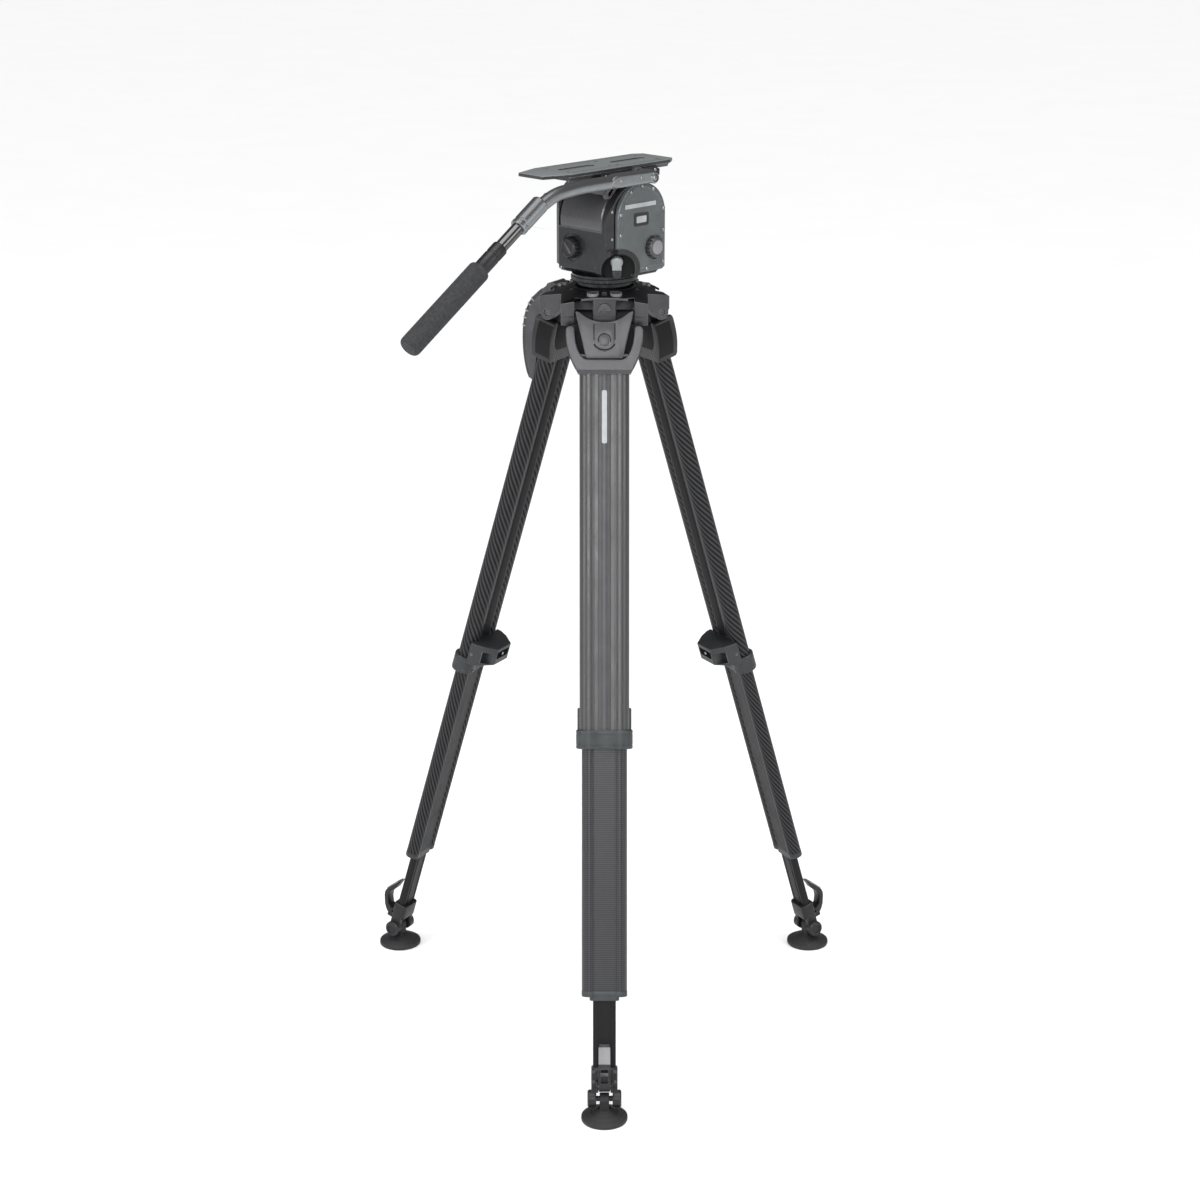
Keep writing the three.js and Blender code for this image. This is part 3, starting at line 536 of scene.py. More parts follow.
def lever_shape():
    left = [(-26.4, -61.3), (-28.6, -55), (-42.6, 6.4), (-42, 8), (-40.6, 7.8)]
    dip = [(x, -8 + 17.5 * (abs(x) / 40) ** 2.2) for x in (-36, -32, -28, -24, -20, -16, -10, -5, 0)]
    dip += [(-x, z) for x, z in reversed(dip[:-1])]
    right = [(40.6, 7.8), (42, 8), (42.6, 6.4), (28.6, -55), (26.4, -61.3)]
    plate = prism(left + dip + right, "xz", -20, -13.4, 1.6, 4)
    panel = prism([(-15.5, -9.6)] + [(-15.5, -38)] + arc(0, -36, 15.5, 190, 350, 18) + [(15.5, -38), (15.5, -9.6)],
                  "xz", -22.4, -19, 0.9, 3)
    thumb = prism(arc(0, -34.5, 7.2, 0, 180, 20) + [(-7.2, -40), (-5, -43), (0, -44), (5, -43), (7.2, -40)],
                  "xz", -24.4, -21, 1.1, 3)
    barrel = rod("x", 4.5, -27, 27, (0, -14, -57), ease=0.6)
    axle = rod("x", 3, -40, 40, (0, -14, -57), ease=0.5)
    return join(plate, panel, thumb, barrel, axle)


def upper_tube_shape():
    tube = prism(dog_bone(OUTER), "xy", -TUBE_END, -TUBE_TOP)
    return cut(tube, prism(dog_bone(OUTER, -OUTER["wall"]), "xy", -TUBE_END - 1, -TUBE_TOP + 1))


def inlay_shape():
    """Matt strips in the grooves between the two lobes, front and back."""
    strips = [prism(rounded_rect(19, 0.5, 0.2, 2, (0, 11.35 * s)), "xy", -COLLAR_TOP - 0.2, -CASTING_END - 0.4)
              for s in (1, -1)]
    return gathered(*strips)


def collar_shape():
    band = prism(dog_bone({"lobe": 18.6, "reach": 23.2, "web": 15.8}), "xy", -COLLAR_END, -COLLAR_TOP, 1.6, 3)
    arm = prism(mirrored([(40, 10), (40, 18), (34, 32), (20, 50)]), "xy", -613, -575, 1.8, 3)
    under = prism([(18, -614), (51, -614), (51, -603)], "yz", -45, 45)
    window = prism(rounded_rect(34, 13, 3, centre=(0, -588)), "xz", 40, 51)
    slots = [prism([(22 * s, -604), (34 * s, -604), (34 * s, -584), (22 * s, -584)], "xz", 30, 51) for s in (1, -1)]
    notch = [prism(rounded_rect(9, 5, 2, centre=(0, -635)), "xz", *sided(10, 25, side)) for side in (-1, 1)]
    grooves = [cut(prism(dog_bone({"lobe": 20, "reach": 23.2, "web": 17.2}), "xy", z - 0.6, z + 0.6),
                   prism(dog_bone({"lobe": 18.0, "reach": 23.2, "web": 15.2}), "xy", z - 1, z + 1))
               for z in (-612, -628)]
    bores = [prism(dog_bone(OUTER, 0.5), "xy", -TUBE_END - 0.3, -570),
             prism(dog_bone(INNER, 0.3), "xy", -COLLAR_END - 1, -COLLAR_TOP)]
    return cut(join(band, cut(arm, under)), window, *slots, *notch, *grooves, *bores)


def collar_screws_shape():
    ends = [screw_head(3.4, 2.2, "x", (37.8 * side, 16, -594), side) for side in (1, -1)]
    return gathered(*ends, screw_head(2.6, 1.4, "y", (0, 49.4, -588), 1))


def foot_tube_section(grow, corner, low, high):
    return prism(rounded_rect(FOOT_TUBE["width"] + grow, FOOT_TUBE["depth"] + grow, corner), "xy", low, high)


def middle_tube_shape():
    tube = prism(dog_bone(INNER), "xy", -MID_END + 9, -440)
    bore = prism(dog_bone(INNER, -INNER["wall"]), "xy", -MID_END + 16, -439)
    return cut(tube, bore, foot_tube_section(0.6, 4.3, -MID_END - 7, -MID_END + 20))


def end_guide_shape():
    sleeve = prism(dog_bone(INNER, 0.25), "xy", -MID_END, -MID_END + 8.8, 0.8, 2)
    lip = prism(rounded_rect(44, 17.6, 6), "xy", -MID_END - 6, -MID_END + 2, 1.2, 3)
    return cut(join(sleeve, lip), foot_tube_section(0.6, 4.3, -MID_END - 7, -MID_END + 20))


def lower_tube_shape():
    tube = foot_tube_section(0, FOOT_TUBE["corner"], -ANKLE_TOP - 11.9, -620)
    bore = foot_tube_section(-3, 2.5, -ANKLE_TOP - 13, -619)
    ways = [block((x - 1.3, x + 1.3), (y - 1.1, y + 1.1), (-1120, -619)) for x in (-9, 9) for y in (-6.9, 6.9)]
    return cut(tube, bore, *ways)


def ankle_shape():
    body = prism(rounded_rect(39, 24, 6), "xy", -1131, -ANKLE_TOP, 1.6, 3)
    parts = []
    dish, caps = [], []
    for side in (1, -1):
        parts.append(block(sided(12, 19.4, side), (-9, 9), (-LEG_LENGTH, -1128), 0.5))
        parts.append(rod("x", 13, *sided(12, 25, side), (0, 0, -LEG_LENGTH), 64, 1.6))
        lug = [(-22, -1139), (-22, -1124), (-10, -1120), (-10, -1139)]
        parts.append(prism(lug, "yz", *sided(9, 12.4, side), 0.6))
        dish.append(rod("x", 8.6, *sided(23.6, 27, side), (0, 0, -LEG_LENGTH)))
        caps.append(screw_head(5.2, 1.7, "x", (23.2 * side, 0, -LEG_LENGTH), side))
    pin = rod("x", 4, -24, 24, (0, 0, -LEG_LENGTH))
    socket = foot_tube_section(0.6, 4, -ANKLE_TOP - 12.3, -1100)
    front = prism(rounded_rect(20, 12, 3, centre=(0, -1117)), "xz", -14, -11)
    body = cut(join(body, *parts, pin), socket, rod("x", 2.8, -14, 14, (0, -17, -1133)), *dish, front)
    return gathered(body, *caps)


def ankle_screws_shape():
    places = [(x, z) for x in (-15.5, 15.5) for z in (-1110, -1125)]
    return gathered(*[screw_head(2.7, 1.6, "y", (x, -11.6, z), -1) for x, z in places])


def claw_shape():
    hook = [(-15.5, -1068), (-27, -1081), (-38, -1097), (-39.5, -1103), (-38.6, -1110), (-34, -1124), (-29, -1132),
            (-25, -1136), (-17, -1138.5), (-13, -1134), (-14, -1128.5), (-26, -1122), (-30, -1112), (-31, -1103),
            (-28, -1096), (-22, -1088)]
    claw = prism(hook, "yz", -8.6, 8.6, 1.2, 3)
    hollow = prism([(-40, -1101), (-34.8, -1101), (-30, -1121), (-36, -1124)], "yz", -5.6, 5.6)
    pin = rod("x", 2.5, -12, 12, (0, -17, -1133), ease=0.4)
    return join(cut(claw, hollow), pin)


def claw_tab_shape():
    """The grip plate on the hook's upper end."""
    face = [(-19.6, -1073), (-20.8, -1071.8), (-28.2, -1080.2), (-37.6, -1093.6), (-36.2, -1095), (-27, -1082)]
    plate = prism(face, "yz", -8.6, 8.6, 0.6, 2)
    ridges = [block((-7, 7), (-24 - 3 * i, -21.6 - 3 * i), (-1077.9 - 4 * i, -1076.9 - 4 * i), 0.3) for i in range(4)]
    return join(plate, *ridges)


def pad_shape():
    """Made upright about the ankle pin."""
    profile = [(0, 0), (32.6, 0), (33.8, 0.7), (34.3, 2), (34.3, 5), (33.9, 6.2), (33, 6.9), (31, 7.4), (30.4, 8.4),
               (27.5, 9.6), (26.8, 9.4), (26, 9.9), (20, 12.8), (19.2, 12.7), (18.4, 13.3), (14, 15.9), (10.6, 17.4),
               (10, 18), (0, 18)]
    disc = turned(profile, "z", 96)
    stem = block((-7, 7), (-8, 8), (14, 34), 1.0)
    barrel = rod("x", 9, -7, 7, (0, 0, 34), 48, 0.8)
    pad = cut(join(disc, stem, barrel), rod("x", 4.3, -9, 9, (0, 0, 34)))
    treads = [turned_by(prism([(10, -1.1), (33, -1.6), (33, 1.6), (10, 1.1)], "xy", -1, 1.1), 30 * i)
              for i in range(12)]
    return shifted(cut(pad, *treads), z=-34)


def latch_shape():
    def arched(half, bottom, steps):
        return [(-half, bottom), (half, bottom)] + arc(0, 14, half, 0, 180, steps)
    ridge = cut(prism(arched(7, 12.6, 20), "xz", -16, -14.3), prism(arched(5.4, 12, 16), "xz", -17, -14))
    return cut(prism(arched(9.9, 12, 24), "xz", -15, -6, 0.9, 3), ridge)


def pin_shape():
    """The hinge pin with its two socket heads."""
    shaft = rod("x", 5, -61.4, 61.4, ease=0.4)
    ends = [cut(rod("x", 4.9, *sided(61.2, 63, side), ease=0.5), rod("x", 2.4, *sided(62, 64, side), sides=6))
            for side in (1, -1)]
    return gathered(shaft, *ends)


def strip_shape():
    """The plain pale strip in the upper tube's front groove."""
    return prism(rounded_rect(7.5, 78, 2.5, centre=(0, -146)), "xz", -12.0, -11.5)


def lay_weave(tube):
    """Marks the weave's directions on a tube: round each lobe, and along the leg, in metres."""
    marks = tube.data.attributes.new("weave", "FLOAT_VECTOR", "POINT")
    for vertex in tube.data.vertices:
        x, y, z = vertex.co
        around = OUTER["lobe"] * math.atan2(y, abs(x) - OUTER["reach"]) * (1 if x > 0 else -1)
        marks.data[vertex.index].vector = (around / 1000, 0, z / 1000)


# Painted shade: the two rear legs are darker, so they take shaded copies of the front leg's finishes.
REAR_PAINTED_SHADE = {"carbon": SHADED, "carbon_weave": SHADED, "collar_plastic": SHADOW, "inlay": SHADE, "cast_grey": DARK}
LEG_PIECES = (
    # part, shape, body, material, CAD node it stands for, edge
    ("casting", yoke_shape, "leg", CAST, "casting", 0.5),
    ("casting_core", casting_core_shape, "leg", SHADE, None, 0.3),
    ("casting_cheek_shade", cheek_shade_shape, "leg", SHADE, None, 0.1),
    ("brake_lever", lever_shape, "brake", CAST, "brake_lever", 0.35),
    ("lever_groove_shade", lever_groove_shade_shape, "brake", SHADE, None, 0),
    ("upper_tube", upper_tube_shape, "leg", SMOOTH, "upper_tube", 0.25),
    ("groove_inlay", inlay_shape, "leg", INLAY, None, 0.2),
    ("collar", collar_shape, "leg", COLLAR, "collar", 0.4),
    ("collar_screws", collar_screws_shape, "leg", STEEL, None, 0.1),
    ("middle_tube", middle_tube_shape, "middle", WOVEN, "middle_tube", 0.25),
    ("end_guide", end_guide_shape, "middle", COLLAR, None, 0.3),
    ("lower_tube", lower_tube_shape, "lower", PLAIN, "lower_tube", 0.25),
    ("ankle", ankle_shape, "lower", DARK, "ankle", 0.4),
    ("ankle_screws", ankle_screws_shape, "lower", INLAY, None, 0.1),
    ("foot_lever", claw_shape, "claw", DARK, "foot_lever", 0.4),
    ("foot_lever_tab", claw_tab_shape, "claw", TAG, None, 0.2),
)

for part, shape, body, material, stands_for, edge in LEG_PIECES:
    master = shape()
    if part.endswith("_tube"):
        lay_weave(master)
    for leg in LEGS:
        copy = master.copy()
        copy.data = master.data.copy()
        bpy.context.scene.collection.objects.link(copy)
        node = f"{leg}_{stands_for}" if stands_for else None
        finish = REAR_PAINTED_SHADE.get(plain_name(material), material) if leg != "front" else material
        piece(f"{leg}_{part}_body", copy, leg_frame(leg), f"{leg}_{body}", finish, node, bevel=edge)
    bpy.data.objects.remove(master)

for leg in LEGS:
    pin_place = at_joint(leg, "spread")
    piece(f"{leg}_hinge_pin_body", pin_shape(), pin_place, "crown", DRUM, f"{leg}_hinge_pin", 0.2)
    piece(f"{leg}_spread_latch_body", latch_shape(), pin_place, f"{leg}_latch", CAST, f"{leg}_spread_latch",
          0.3)
    piece(f"{leg}_foot_pad_body", pad_shape(), at_joint(leg, "ankle_tilt"), f"{leg}_foot", RUBBER,
          f"{leg}_foot_pad", bevel=0.25)

piece("front_strip", strip_shape(), leg_frame("front"), "front_leg", LABEL, None, 0.1)


# ------------------------------------------------------------------ crown, bowl and carrying handle
THIRDS = (0, -120, 120)


def crown_arm():
    """The crown's two ears and rib over one leg, drawn for the front leg."""
    def ear(inner, outer, face):
        profile = [(-30, 1150), (-30, CROWN_TOP), (face, CROWN_TOP), (face, PIN_HEIGHT + 5)]
        profile += arc(-PIN_CIRCLE, PIN_HEIGHT, 11.5, 168, 315, 24)
        return prism(profile, "yz", inner, outer, 1.6, 3)
    web = prism([(-64, -30), (-64, -75), (64, -75), (64, -30)], "xy", 1164.5, CROWN_TOP)
    arm = join(web, ear(44, 64, -75), ear(-64, -44, -75), ear(-16.6, 16.6, -74))
    opening = [(-10.5, PIN_HEIGHT + 11.5), (10.5, PIN_HEIGHT + 11.5)] + arc(0, PIN_HEIGHT + 14, 10.5, 0, 180, 24)
    pocket = prism(opening, "xz", -PIN_CIRCLE - 16, -PIN_CIRCLE - 2)
    pin = rod("x", 5.3, -70, 70, (0, -PIN_CIRCLE, PIN_HEIGHT))
    return cut(arm, pin, pocket)


def brow_shape():
    """The thin rim along the crown's front edge, over each leg."""
    brows = []
    for turn in THIRDS:
        line = [Vector((x, -74.2, 1165.6 - 0.0018 * x * x)) for x in range(-34, 35, 4)]
        rim = swept(line, rounded_rect(2.2, 3.6, 1.0, 3), Vector((0, 1, 0)))
        brows.append(turned_by(rim, turn))
    return gathered(*brows)


def handle_lugs():
    y, z = -PIN_CIRCLE - 18.5, PIN_HEIGHT + 31
    parts = []
    for low in (11.2, -16.6):
        parts.append(rod("x", 5, low, low + 5.4, (0, y, z), 40, 0.5))
        parts.append(block((low, low + 5.4), (y, -70), (z - 5, z + 3), 0.4))
    return join(parts[0], *parts[1:], rod("x", 2, -14, 14, (0, y, z)))


def crown_shape():
    core = turned([(0, 1127), (34, 1127), (46, 1140), (55, 1155), (55, CROWN_TOP), (0, CROWN_TOP)], "z", 96)
    hub = join(core, *[turned_by(crown_arm(), turn) for turn in THIRDS])
    slope = turned_by(turned([(0, 1100), (134, 1100), (134, 1148), (54, CROWN_TOP), (0, CROWN_TOP)], "z", 12), 15)
    bowl = arc(0, BALL_HEIGHT, 49, -84, 0, 14)
    seat = turned([(0, BALL_HEIGHT - 49)] + bowl + [(49, 1200), (0, 1200)], "z", 96)
    shaped = cut(common(hub, slope), seat, rod("z", 22, 1120, BALL_HEIGHT, sides=64))
    scallops = []
    for turn in THIRDS:
        for x in (-17, 17):
            outline = arc(x, -60, 8.5, 180, 360, 18) + [(x + 8.5, -50), (x - 8.5, -50)]
            scallops.append(turned_by(prism(outline, "xy", 1166.4, 1180), turn))
        scallops.append(turned_by(prism(rounded_rect(7, 9, 1.5, centre=(0, -59)), "xy", 1166, 1180), turn))
    shaped = cut(shaped, *scallops)
    return join(shaped, turned_by(handle_lugs(), -120))


def crescents_shape():
    """Painted highlights: pale crescents on the rims of the scallops beside each leg, standing in for light on their
    bevels.
    """
    rims = []
    for turn in THIRDS:
        for x in (-17, 17):
            rim = arc(x, -60, 8.4, 180, 360, 18) + arc(x, -60, 6.6, 360, 180, 18)
            rims.append(turned_by(prism(rim, "xy", 1166.6, 1171.2), turn))
    return gathered(*rims)


def ball_shape():
    def cap(radius, low, high):
        heights = [low + (high - low) * i / 24 for i in range(25)]
        return turned([(0, low)] + [(math.sqrt(radius * radius - h * h), h) for h in heights] + [(0, high)], "z", 96)
    cup = cut(cap(48, -37, -4), cap(44, -38, -3), rod("z", 15, -60, 0, sides=64))
    return shifted(cup, z=BALL_HEIGHT)


# The handle's outline, as distances out of and down the leg from its hinge pin.
HANDLE_OUTSIDE = [(26, -27), (34, -24), (44, -12), (54, 3), (61, 18), (64, 37), (62, 58), (56, 81), (48, 102),
                  (38.5, 120), (30, 132)]
HANDLE_INSIDE = [(23, 133), (22, 126), (23.8, 105), (28.2, 83), (32.6, 60), (36.2, 40), (38, 22), (38.2, 7), (34, -5),
                 (26, -14)]
LEAN = joints["left_middle_slide"]["axis"]
SPREAD = math.atan2(math.hypot(LEAN[0], LEAN[1]), -LEAN[2])


def smooth(line, steps=5):
    return [(p.x, p.y) for p in spline([Vector((u, v, 0)) for u, v in line], steps)]


def down_the_leg(obj):
    return moved(obj, Matrix.Rotation(-SPREAD, 4, "X"))


def handle_core_shape():
    side = [(-out, -down) for out, down in smooth(HANDLE_OUTSIDE) + smooth(HANDLE_INSIDE)]
    grip = down_the_leg(prism(side, "yz", -8, 8, 2.6, 5))
    eye_y, eye_z = -18.5, 31
    eye = join(rod("x", 5, -10.8, 10.8, (0, eye_y, eye_z), 40, 0.4),
               prism([(eye_y, eye_z - 4.5), (eye_y, eye_z + 5), (eye_y - 12, eye_z + 1), (eye_y - 18, eye_z - 8),
                      (eye_y - 12, eye_z - 14)], "yz", -10.8, 10.8, 0.8))
    latch_side = prism([(eye_y + 0.7, eye_z - 5.8), (eye_y - 3.4, eye_z - 21), (eye_y + 14, eye_z - 21),
                        (eye_y + 14, eye_z - 5.8)], "yz", -16, 16)
    return cut(join(grip, eye), rod("x", 2.3, -15, 15, (0, eye_y, eye_z)), latch_side)


def handle_ribs(first, last, step, width, height, rise):
    """Ribs across the handle's outer edge."""
    line = [Vector((0, -out, -down)) for out, down in smooth(HANDLE_OUTSIDE[1:], 12)]
    ribs = []
    for i in range(int(first * len(line)), int(last * len(line)), step):
        ahead = (line[i + 1] - line[i - 1]).normalized()
        out = ahead.cross(Vector((1, 0, 0)))
        turn = Matrix((Vector((1, 0, 0)), out, ahead)).transposed().to_4x4()
        rib = prism(rounded_rect(width, height, min(width, height) * 0.45, 4), "xy", -0.9, 0.9, 0.4, 2)
        ribs.append(moved(rib, Matrix.Translation(line[i] + out * rise) @ turn))
    return down_the_leg(gathered(*ribs))


def tie_knob_shape():
    grip = turned([(0, 1086), (19, 1086), (21, 1086.6), (24.4, 1090), (25, 1092), (25, 1104), (24, 1106.6),
                   (18.5, 1117),
                   (17, 1120), (16.6, 1122), (0, 1122)], "z", 96)
    flutes = [rod("z", 4.6, 1080, 1114, (x, y, 0)) for x, y in polar(27.5, 6)]
    return cut(grip, *flutes, rod("z", 6.3, 1091.7, 1130))


HANG = at_joint("left", "spread")
piece("crown_body", crown_shape(), CENTRE, "crown", CROWN, "crown", 0.7)
piece("crown_brows", brow_shape(), CENTRE, "crown", CAST, bevel=0.2)
piece("crown_crescent_highlights", crescents_shape(), CENTRE, "crown", TAG, bevel=0.2)
piece("half_ball_body", ball_shape(), CENTRE, "ball", DARK, "half_ball")
piece("carry_handle_core", handle_core_shape(), HANG, "handle_hang", CAST, "carry_handle", 0.5)
piece("carry_handle_ribs", handle_ribs(0.16, 0.97, 2, 16.6, 8, -2.6), HANG, "handle_hang", RUBBER, bevel=0.1)
# Painted highlights: pale ridges among the handle's ribs, standing in for the light they catch.
piece("carry_handle_ridge_highlights", handle_ribs(0.3, 0.56, 7, 17.6, 9, -1.9), HANG, "handle_hang", LABEL,
      bevel=0.1)
piece("tie_down_knob_body", tie_knob_shape(), CENTRE, "tie_knob", RUBBER, "tie_down_knob", bevel=0.5)


# ------------------------------------------------------------------ fluid head, in the head's own frame
def base_shape():
    profile = [(0, BALL_HEIGHT - 26), (24, BALL_HEIGHT - 26), (24, 1174.5), (40.4, 1174.5), (41, 1175.1), (41, 1180.4),
               (48, 1181), (49.6, 1182.2), (50, 1183), (50, 1185), (49.2, 1185.4), (49.2, 1186.2), (50, 1186.6),
               (50, 1187.4), (49, 1188.5), (48.5, 1188.8), (48.5, BASE_TOP - 0.3), (0, BASE_TOP - 0.3)]
    notches = [turned_by(block((49.4, 51), (-0.5, 0.5), (1183.2, 1184.8)), 10 * i) for i in range(36)]
    return cut(turned(profile, "z", 144), *notches)


def arch(centre, half, bottom, springing, chamfer):
    points = [(centre - half + chamfer, bottom), (centre + half - chamfer, bottom),
              (centre + half, bottom + chamfer * 0.6)]
    points += arc(centre, springing, half, 0, 180, 48)
    return points + [(centre - half, bottom + chamfer * 0.6)]


BAY = (20, 0, 1206)    # the middle of the brake lever's bay, before it is turned towards the front leg


def to_front_leg(obj):
    return turned_by(obj, -45)


def bay_rod(radius, low, high, sides=96):
    return rod("y", radius, low, high, BAY, sides)


def brake_bay(radius=25.0):
    return to_front_leg(bay_rod(radius, -110, -50, 72))


def housing_block(grow=0.0):
    return prism(arch(TILT_X, 56 + grow, BASE_TOP, TILT_Z, 14), "xz", -60 - grow, 54 + grow, 1.8, 4)


def housing_shape():
    body = housing_block()
    drum = rod("y", DRUM_RADIUS + 0.8, -DRUM_HALF - 2, DRUM_HALF + 2, (TILT_X, 0, TILT_Z), 128)
    above = join(block((-80, TILT_X), (-DRUM_HALF - 2, DRUM_HALF + 2), (TILT_Z - 3, 1340)),
                 block((TILT_X - 1, 90), (-DRUM_HALF - 2, DRUM_HALF + 2), (TILT_Z - 22, 1340)))
    corners = [shifted(turned_by(block((-9, 9), (-9, 9), (1180, 1340)), 45), x, y)
               for x in (-52, 64) for y in (-62, 56)]
    ring = cut(rod("x", 22, -52, -48.6, (0, 15.4, KNOB_Z), 72), rod("x", 18.5, -53, -48, (0, 15.4, KNOB_Z), 72))
    return cut(body, drum, above, *corners, rod("y", 34, -61, -53, (TILT_X, 0, TILT_Z), 96),
               rod("y", 8.3, -62, 56, (TILT_X, 0, TILT_Z)), brake_bay(), ring)


def cover_block(low, high, grow=0.0, chamfer=6, soft=0.0):
    """The side covers' outline, between two depths."""
    return prism(arch(TILT_X + 4, 49 + grow, 1198 - grow, 1281, chamfer), "xz", low, high, soft)


def right_cover_shape():
    recess = rod("y", 18.5, -70, -65, (35, 0, KNOB_Z), 72)
    step = cut(cover_block(-69, -67.4, -6.4, 4), cover_block(-70, -67, -7.4, 4))
    return cut(cover_block(-68, -60.3, soft=1.3), brake_bay(26.5), recess, step)


def left_cover_shape():
    step = cut(cover_block(61.4, 63, -6.4, 4), cover_block(61, 64, -7.4, 4))
    ribs = [prism(rounded_rect(46, 2.4, 1.1, centre=(14, 1222 + 7 * i)), "xz", 61.2, 63) for i in range(5)]
    return cut(cover_block(54.3, 62, soft=1.3), step, *ribs)


COVER_SCREWS = [(10, 1325.6), (33, 1318.6), (-13, 1318.6), (-34.6, 1288), (54.6, 1288), (-34.6, 1258), (54.6, 1256),
                (54.6, 1209), (20, 1202.6)]


def cover_screws_shape():
    right = [screw_head(2.7, 1.9, "y", (x, -67.8, z), -1) for x, z in COVER_SCREWS]
    left = [screw_head(2.7, 1.9, "y", (x, 61.8, z), 1) for x, z in COVER_SCREWS + [(-34.6, 1209)]]
    return gathered(*right, *left)


def rear_screws_shape():
    places = [(-37, 1251), (42, 1252), (-30, 1209), (42, 1199.5)]
    heads = [screw_head(2.6, 1.6, "x", (-48.4, y, z), -1) for y, z in places]
    heads += [screw_head(2.6, 1.6, "x", (60.4, y, z), 1) for y, z in places[2:]]    # the cradle passes the upper two
    side = [screw_head(2.4, 1.6, "y", (-42.5, -58.6, z), -1) for z in (1292, 1252)]
    return gathered(*heads, *side)


def strip_plate_shape():
    return prism(rounded_rect(64, 6.2, 1.0, centre=(6, 1298)), "xz", -68.7, -67.9)


def label_frame_shape():
    frame_ring = prism(rounded_rect(30, 19, 2.5, centre=(8, 1277)), "xz", -68.9, -67.9)
    return cut(frame_ring, prism(rounded_rect(22, 11, 1.5, centre=(8, 1277)), "xz", -69.5, -68.4))


def label_plate_shape():
    return prism(rounded_rect(20.6, 9.6, 1.2, centre=(8, 1277)), "xz", -68.7, -68.3)


def bay_shade_shape():
    """Painted shade: a dark bowl lining the bay round the brake lever."""
    shell = cut(bay_rod(25, -74, -46), bay_rod(23.4, -80, -50.6))
    return common(to_front_leg(shell), join(housing_block(), cover_block(-68, -60)))


def bay_rim_shape():
    """The raised rim round the bay, on the housing's corner and the side cover."""
    rim = cut(bay_rod(32.5, -86, -40), bay_rod(25.6, -90, -30))
    outer = join(prism(arch(TILT_X, 56.5, BASE_TOP - 0.2, TILT_Z, 14), "xz", -60.6, 54), cover_block(-68.8, -60, 0.3))
    inner = join(housing_block(-0.5), cover_block(-67.4, -50, -0.4))
    return common(cut(to_front_leg(rim), inner), outer)


def cradle_shape():
    drum = turned([(0, -DRUM_HALF), (DRUM_RADIUS - 1.6, -DRUM_HALF), (DRUM_RADIUS, -DRUM_HALF + 1.6),
                   (DRUM_RADIUS, DRUM_HALF - 1.6), (DRUM_RADIUS - 1.6, DRUM_HALF), (0, DRUM_HALF)], "y", 160)
    neck = block((-38, 38), (-DRUM_HALF, DRUM_HALF), (20, PLATFORM_BOTTOM - 0.3 - TILT_Z), 1.2)
    spring_bay = rod("y", 40, 6, DRUM_HALF + 1, sides=72)
    body = cut(join(drum, neck), spring_bay, rod("y", 8.3, -50, 50))
    return shifted(body, TILT_X, 0, TILT_Z)


def platform_shape():
    slab = shifted(prism(rounded_rect(140, 90, 8), "xy", PLATFORM_BOTTOM, PLATFORM_TOP, 0.8), x=5)
    rail = [(-47, PLATFORM_BOTTOM + 2), (-47, 1346), (-40.8, 1346), (-43.4, PLATFORM_TOP - 2)]
    rails = [prism([(y * s, z) for y, z in rail], "yz", -52, 62) for s in (1, -1)]
    face = block((-6, 34), (-50, -44), (PLATFORM_BOTTOM + 1, PLATFORM_TOP), 0.4)
    slots = [block((x, x + 14), (-46, -44.6), (1335, 1339)) for x in (-60, 58)]
    return cut(join(slab, *rails, face), *slots)


def rail_screws_shape():
    right = [screw_head(2.6, 2.0, "y", (x, -46.8, 1341.6), -1) for x in (-44, -8, 58)]
    left = [screw_head(2.6, 2.0, "y", (x, 46.8, 1341.6), 1) for x in (-44, -8, 22, 54)]
    return gathered(*right, *left)


def plate_shape():
    ends = [(-150, 25), (-104, 40), (98, 40), (113, 30)]
    top = prism(ends + [(x, -y) for x, y in reversed(ends)], "xy", 1346.5, PLATE_TOP, 1.0, 3)
    dove = prism(mirrored([(37, 1341.8), (40.4, 1347)]), "yz", -110, 95)
    slot = [prism(rounded_rect(62, 7, 3.4, centre=(x, 0)), "xy", 1340, 1360) for x in (-58, 48)]
    rims = [prism(rounded_rect(70, 13, 6.4, centre=(x, 0)), "xy", 1350.2, 1360) for x in (-58, 48)]
    holes = [rod("z", 2.6, 1340, 1360, (x, y, 0), 24) for x in (-96, -12, 4, 88) for y in (-22, 22)]
    lines = [block((-98, 92), (y - 0.5, y + 0.5), (1351.2, 1353)) for y in (-34, -31, -28, 28, 31, 34)]
    return cut(join(top, dove), *slot, *rims, *holes, *lines)


def plate_screws_shape():
    def camera_screw(x):
        return cut(turned([(0, 1347.2), (9, 1347.2), (9, 1349.2), (8.2, 1350), (0, 1350)], "z", 48, (x, 0, 0)),
                   block((x - 7, x + 7), (-0.9, 0.9), (1348.8, 1352)))
    caps = [screw_head(3.6, 1.3, "z", (x, y, 1350.6), 1) for x in (-128, 96) for y in (-14, 14)]
    return gathered(camera_screw(-48), camera_screw(40), *caps)


def lock_lever_shape():
    hub = rod("y", 6, -56, -47.5, (-24, 0, 1338.5), 48, 0.6)
    outer = [(-19, 1341), (-29, 1341), (-36, 1335), (-50, 1323), (-53, 1321), (-55, 1317), (-52, 1311), (-44, 1311),
             (-20, 1333)]
    inner = [(-27, 1336), (-32, 1335), (-48, 1320), (-49, 1316), (-45, 1314.6)]
    v_frame = cut(prism(outer, "xz", -56, -50.5, 0.8), prism(inner, "xz", -57, -49))
    return join(hub, v_frame)


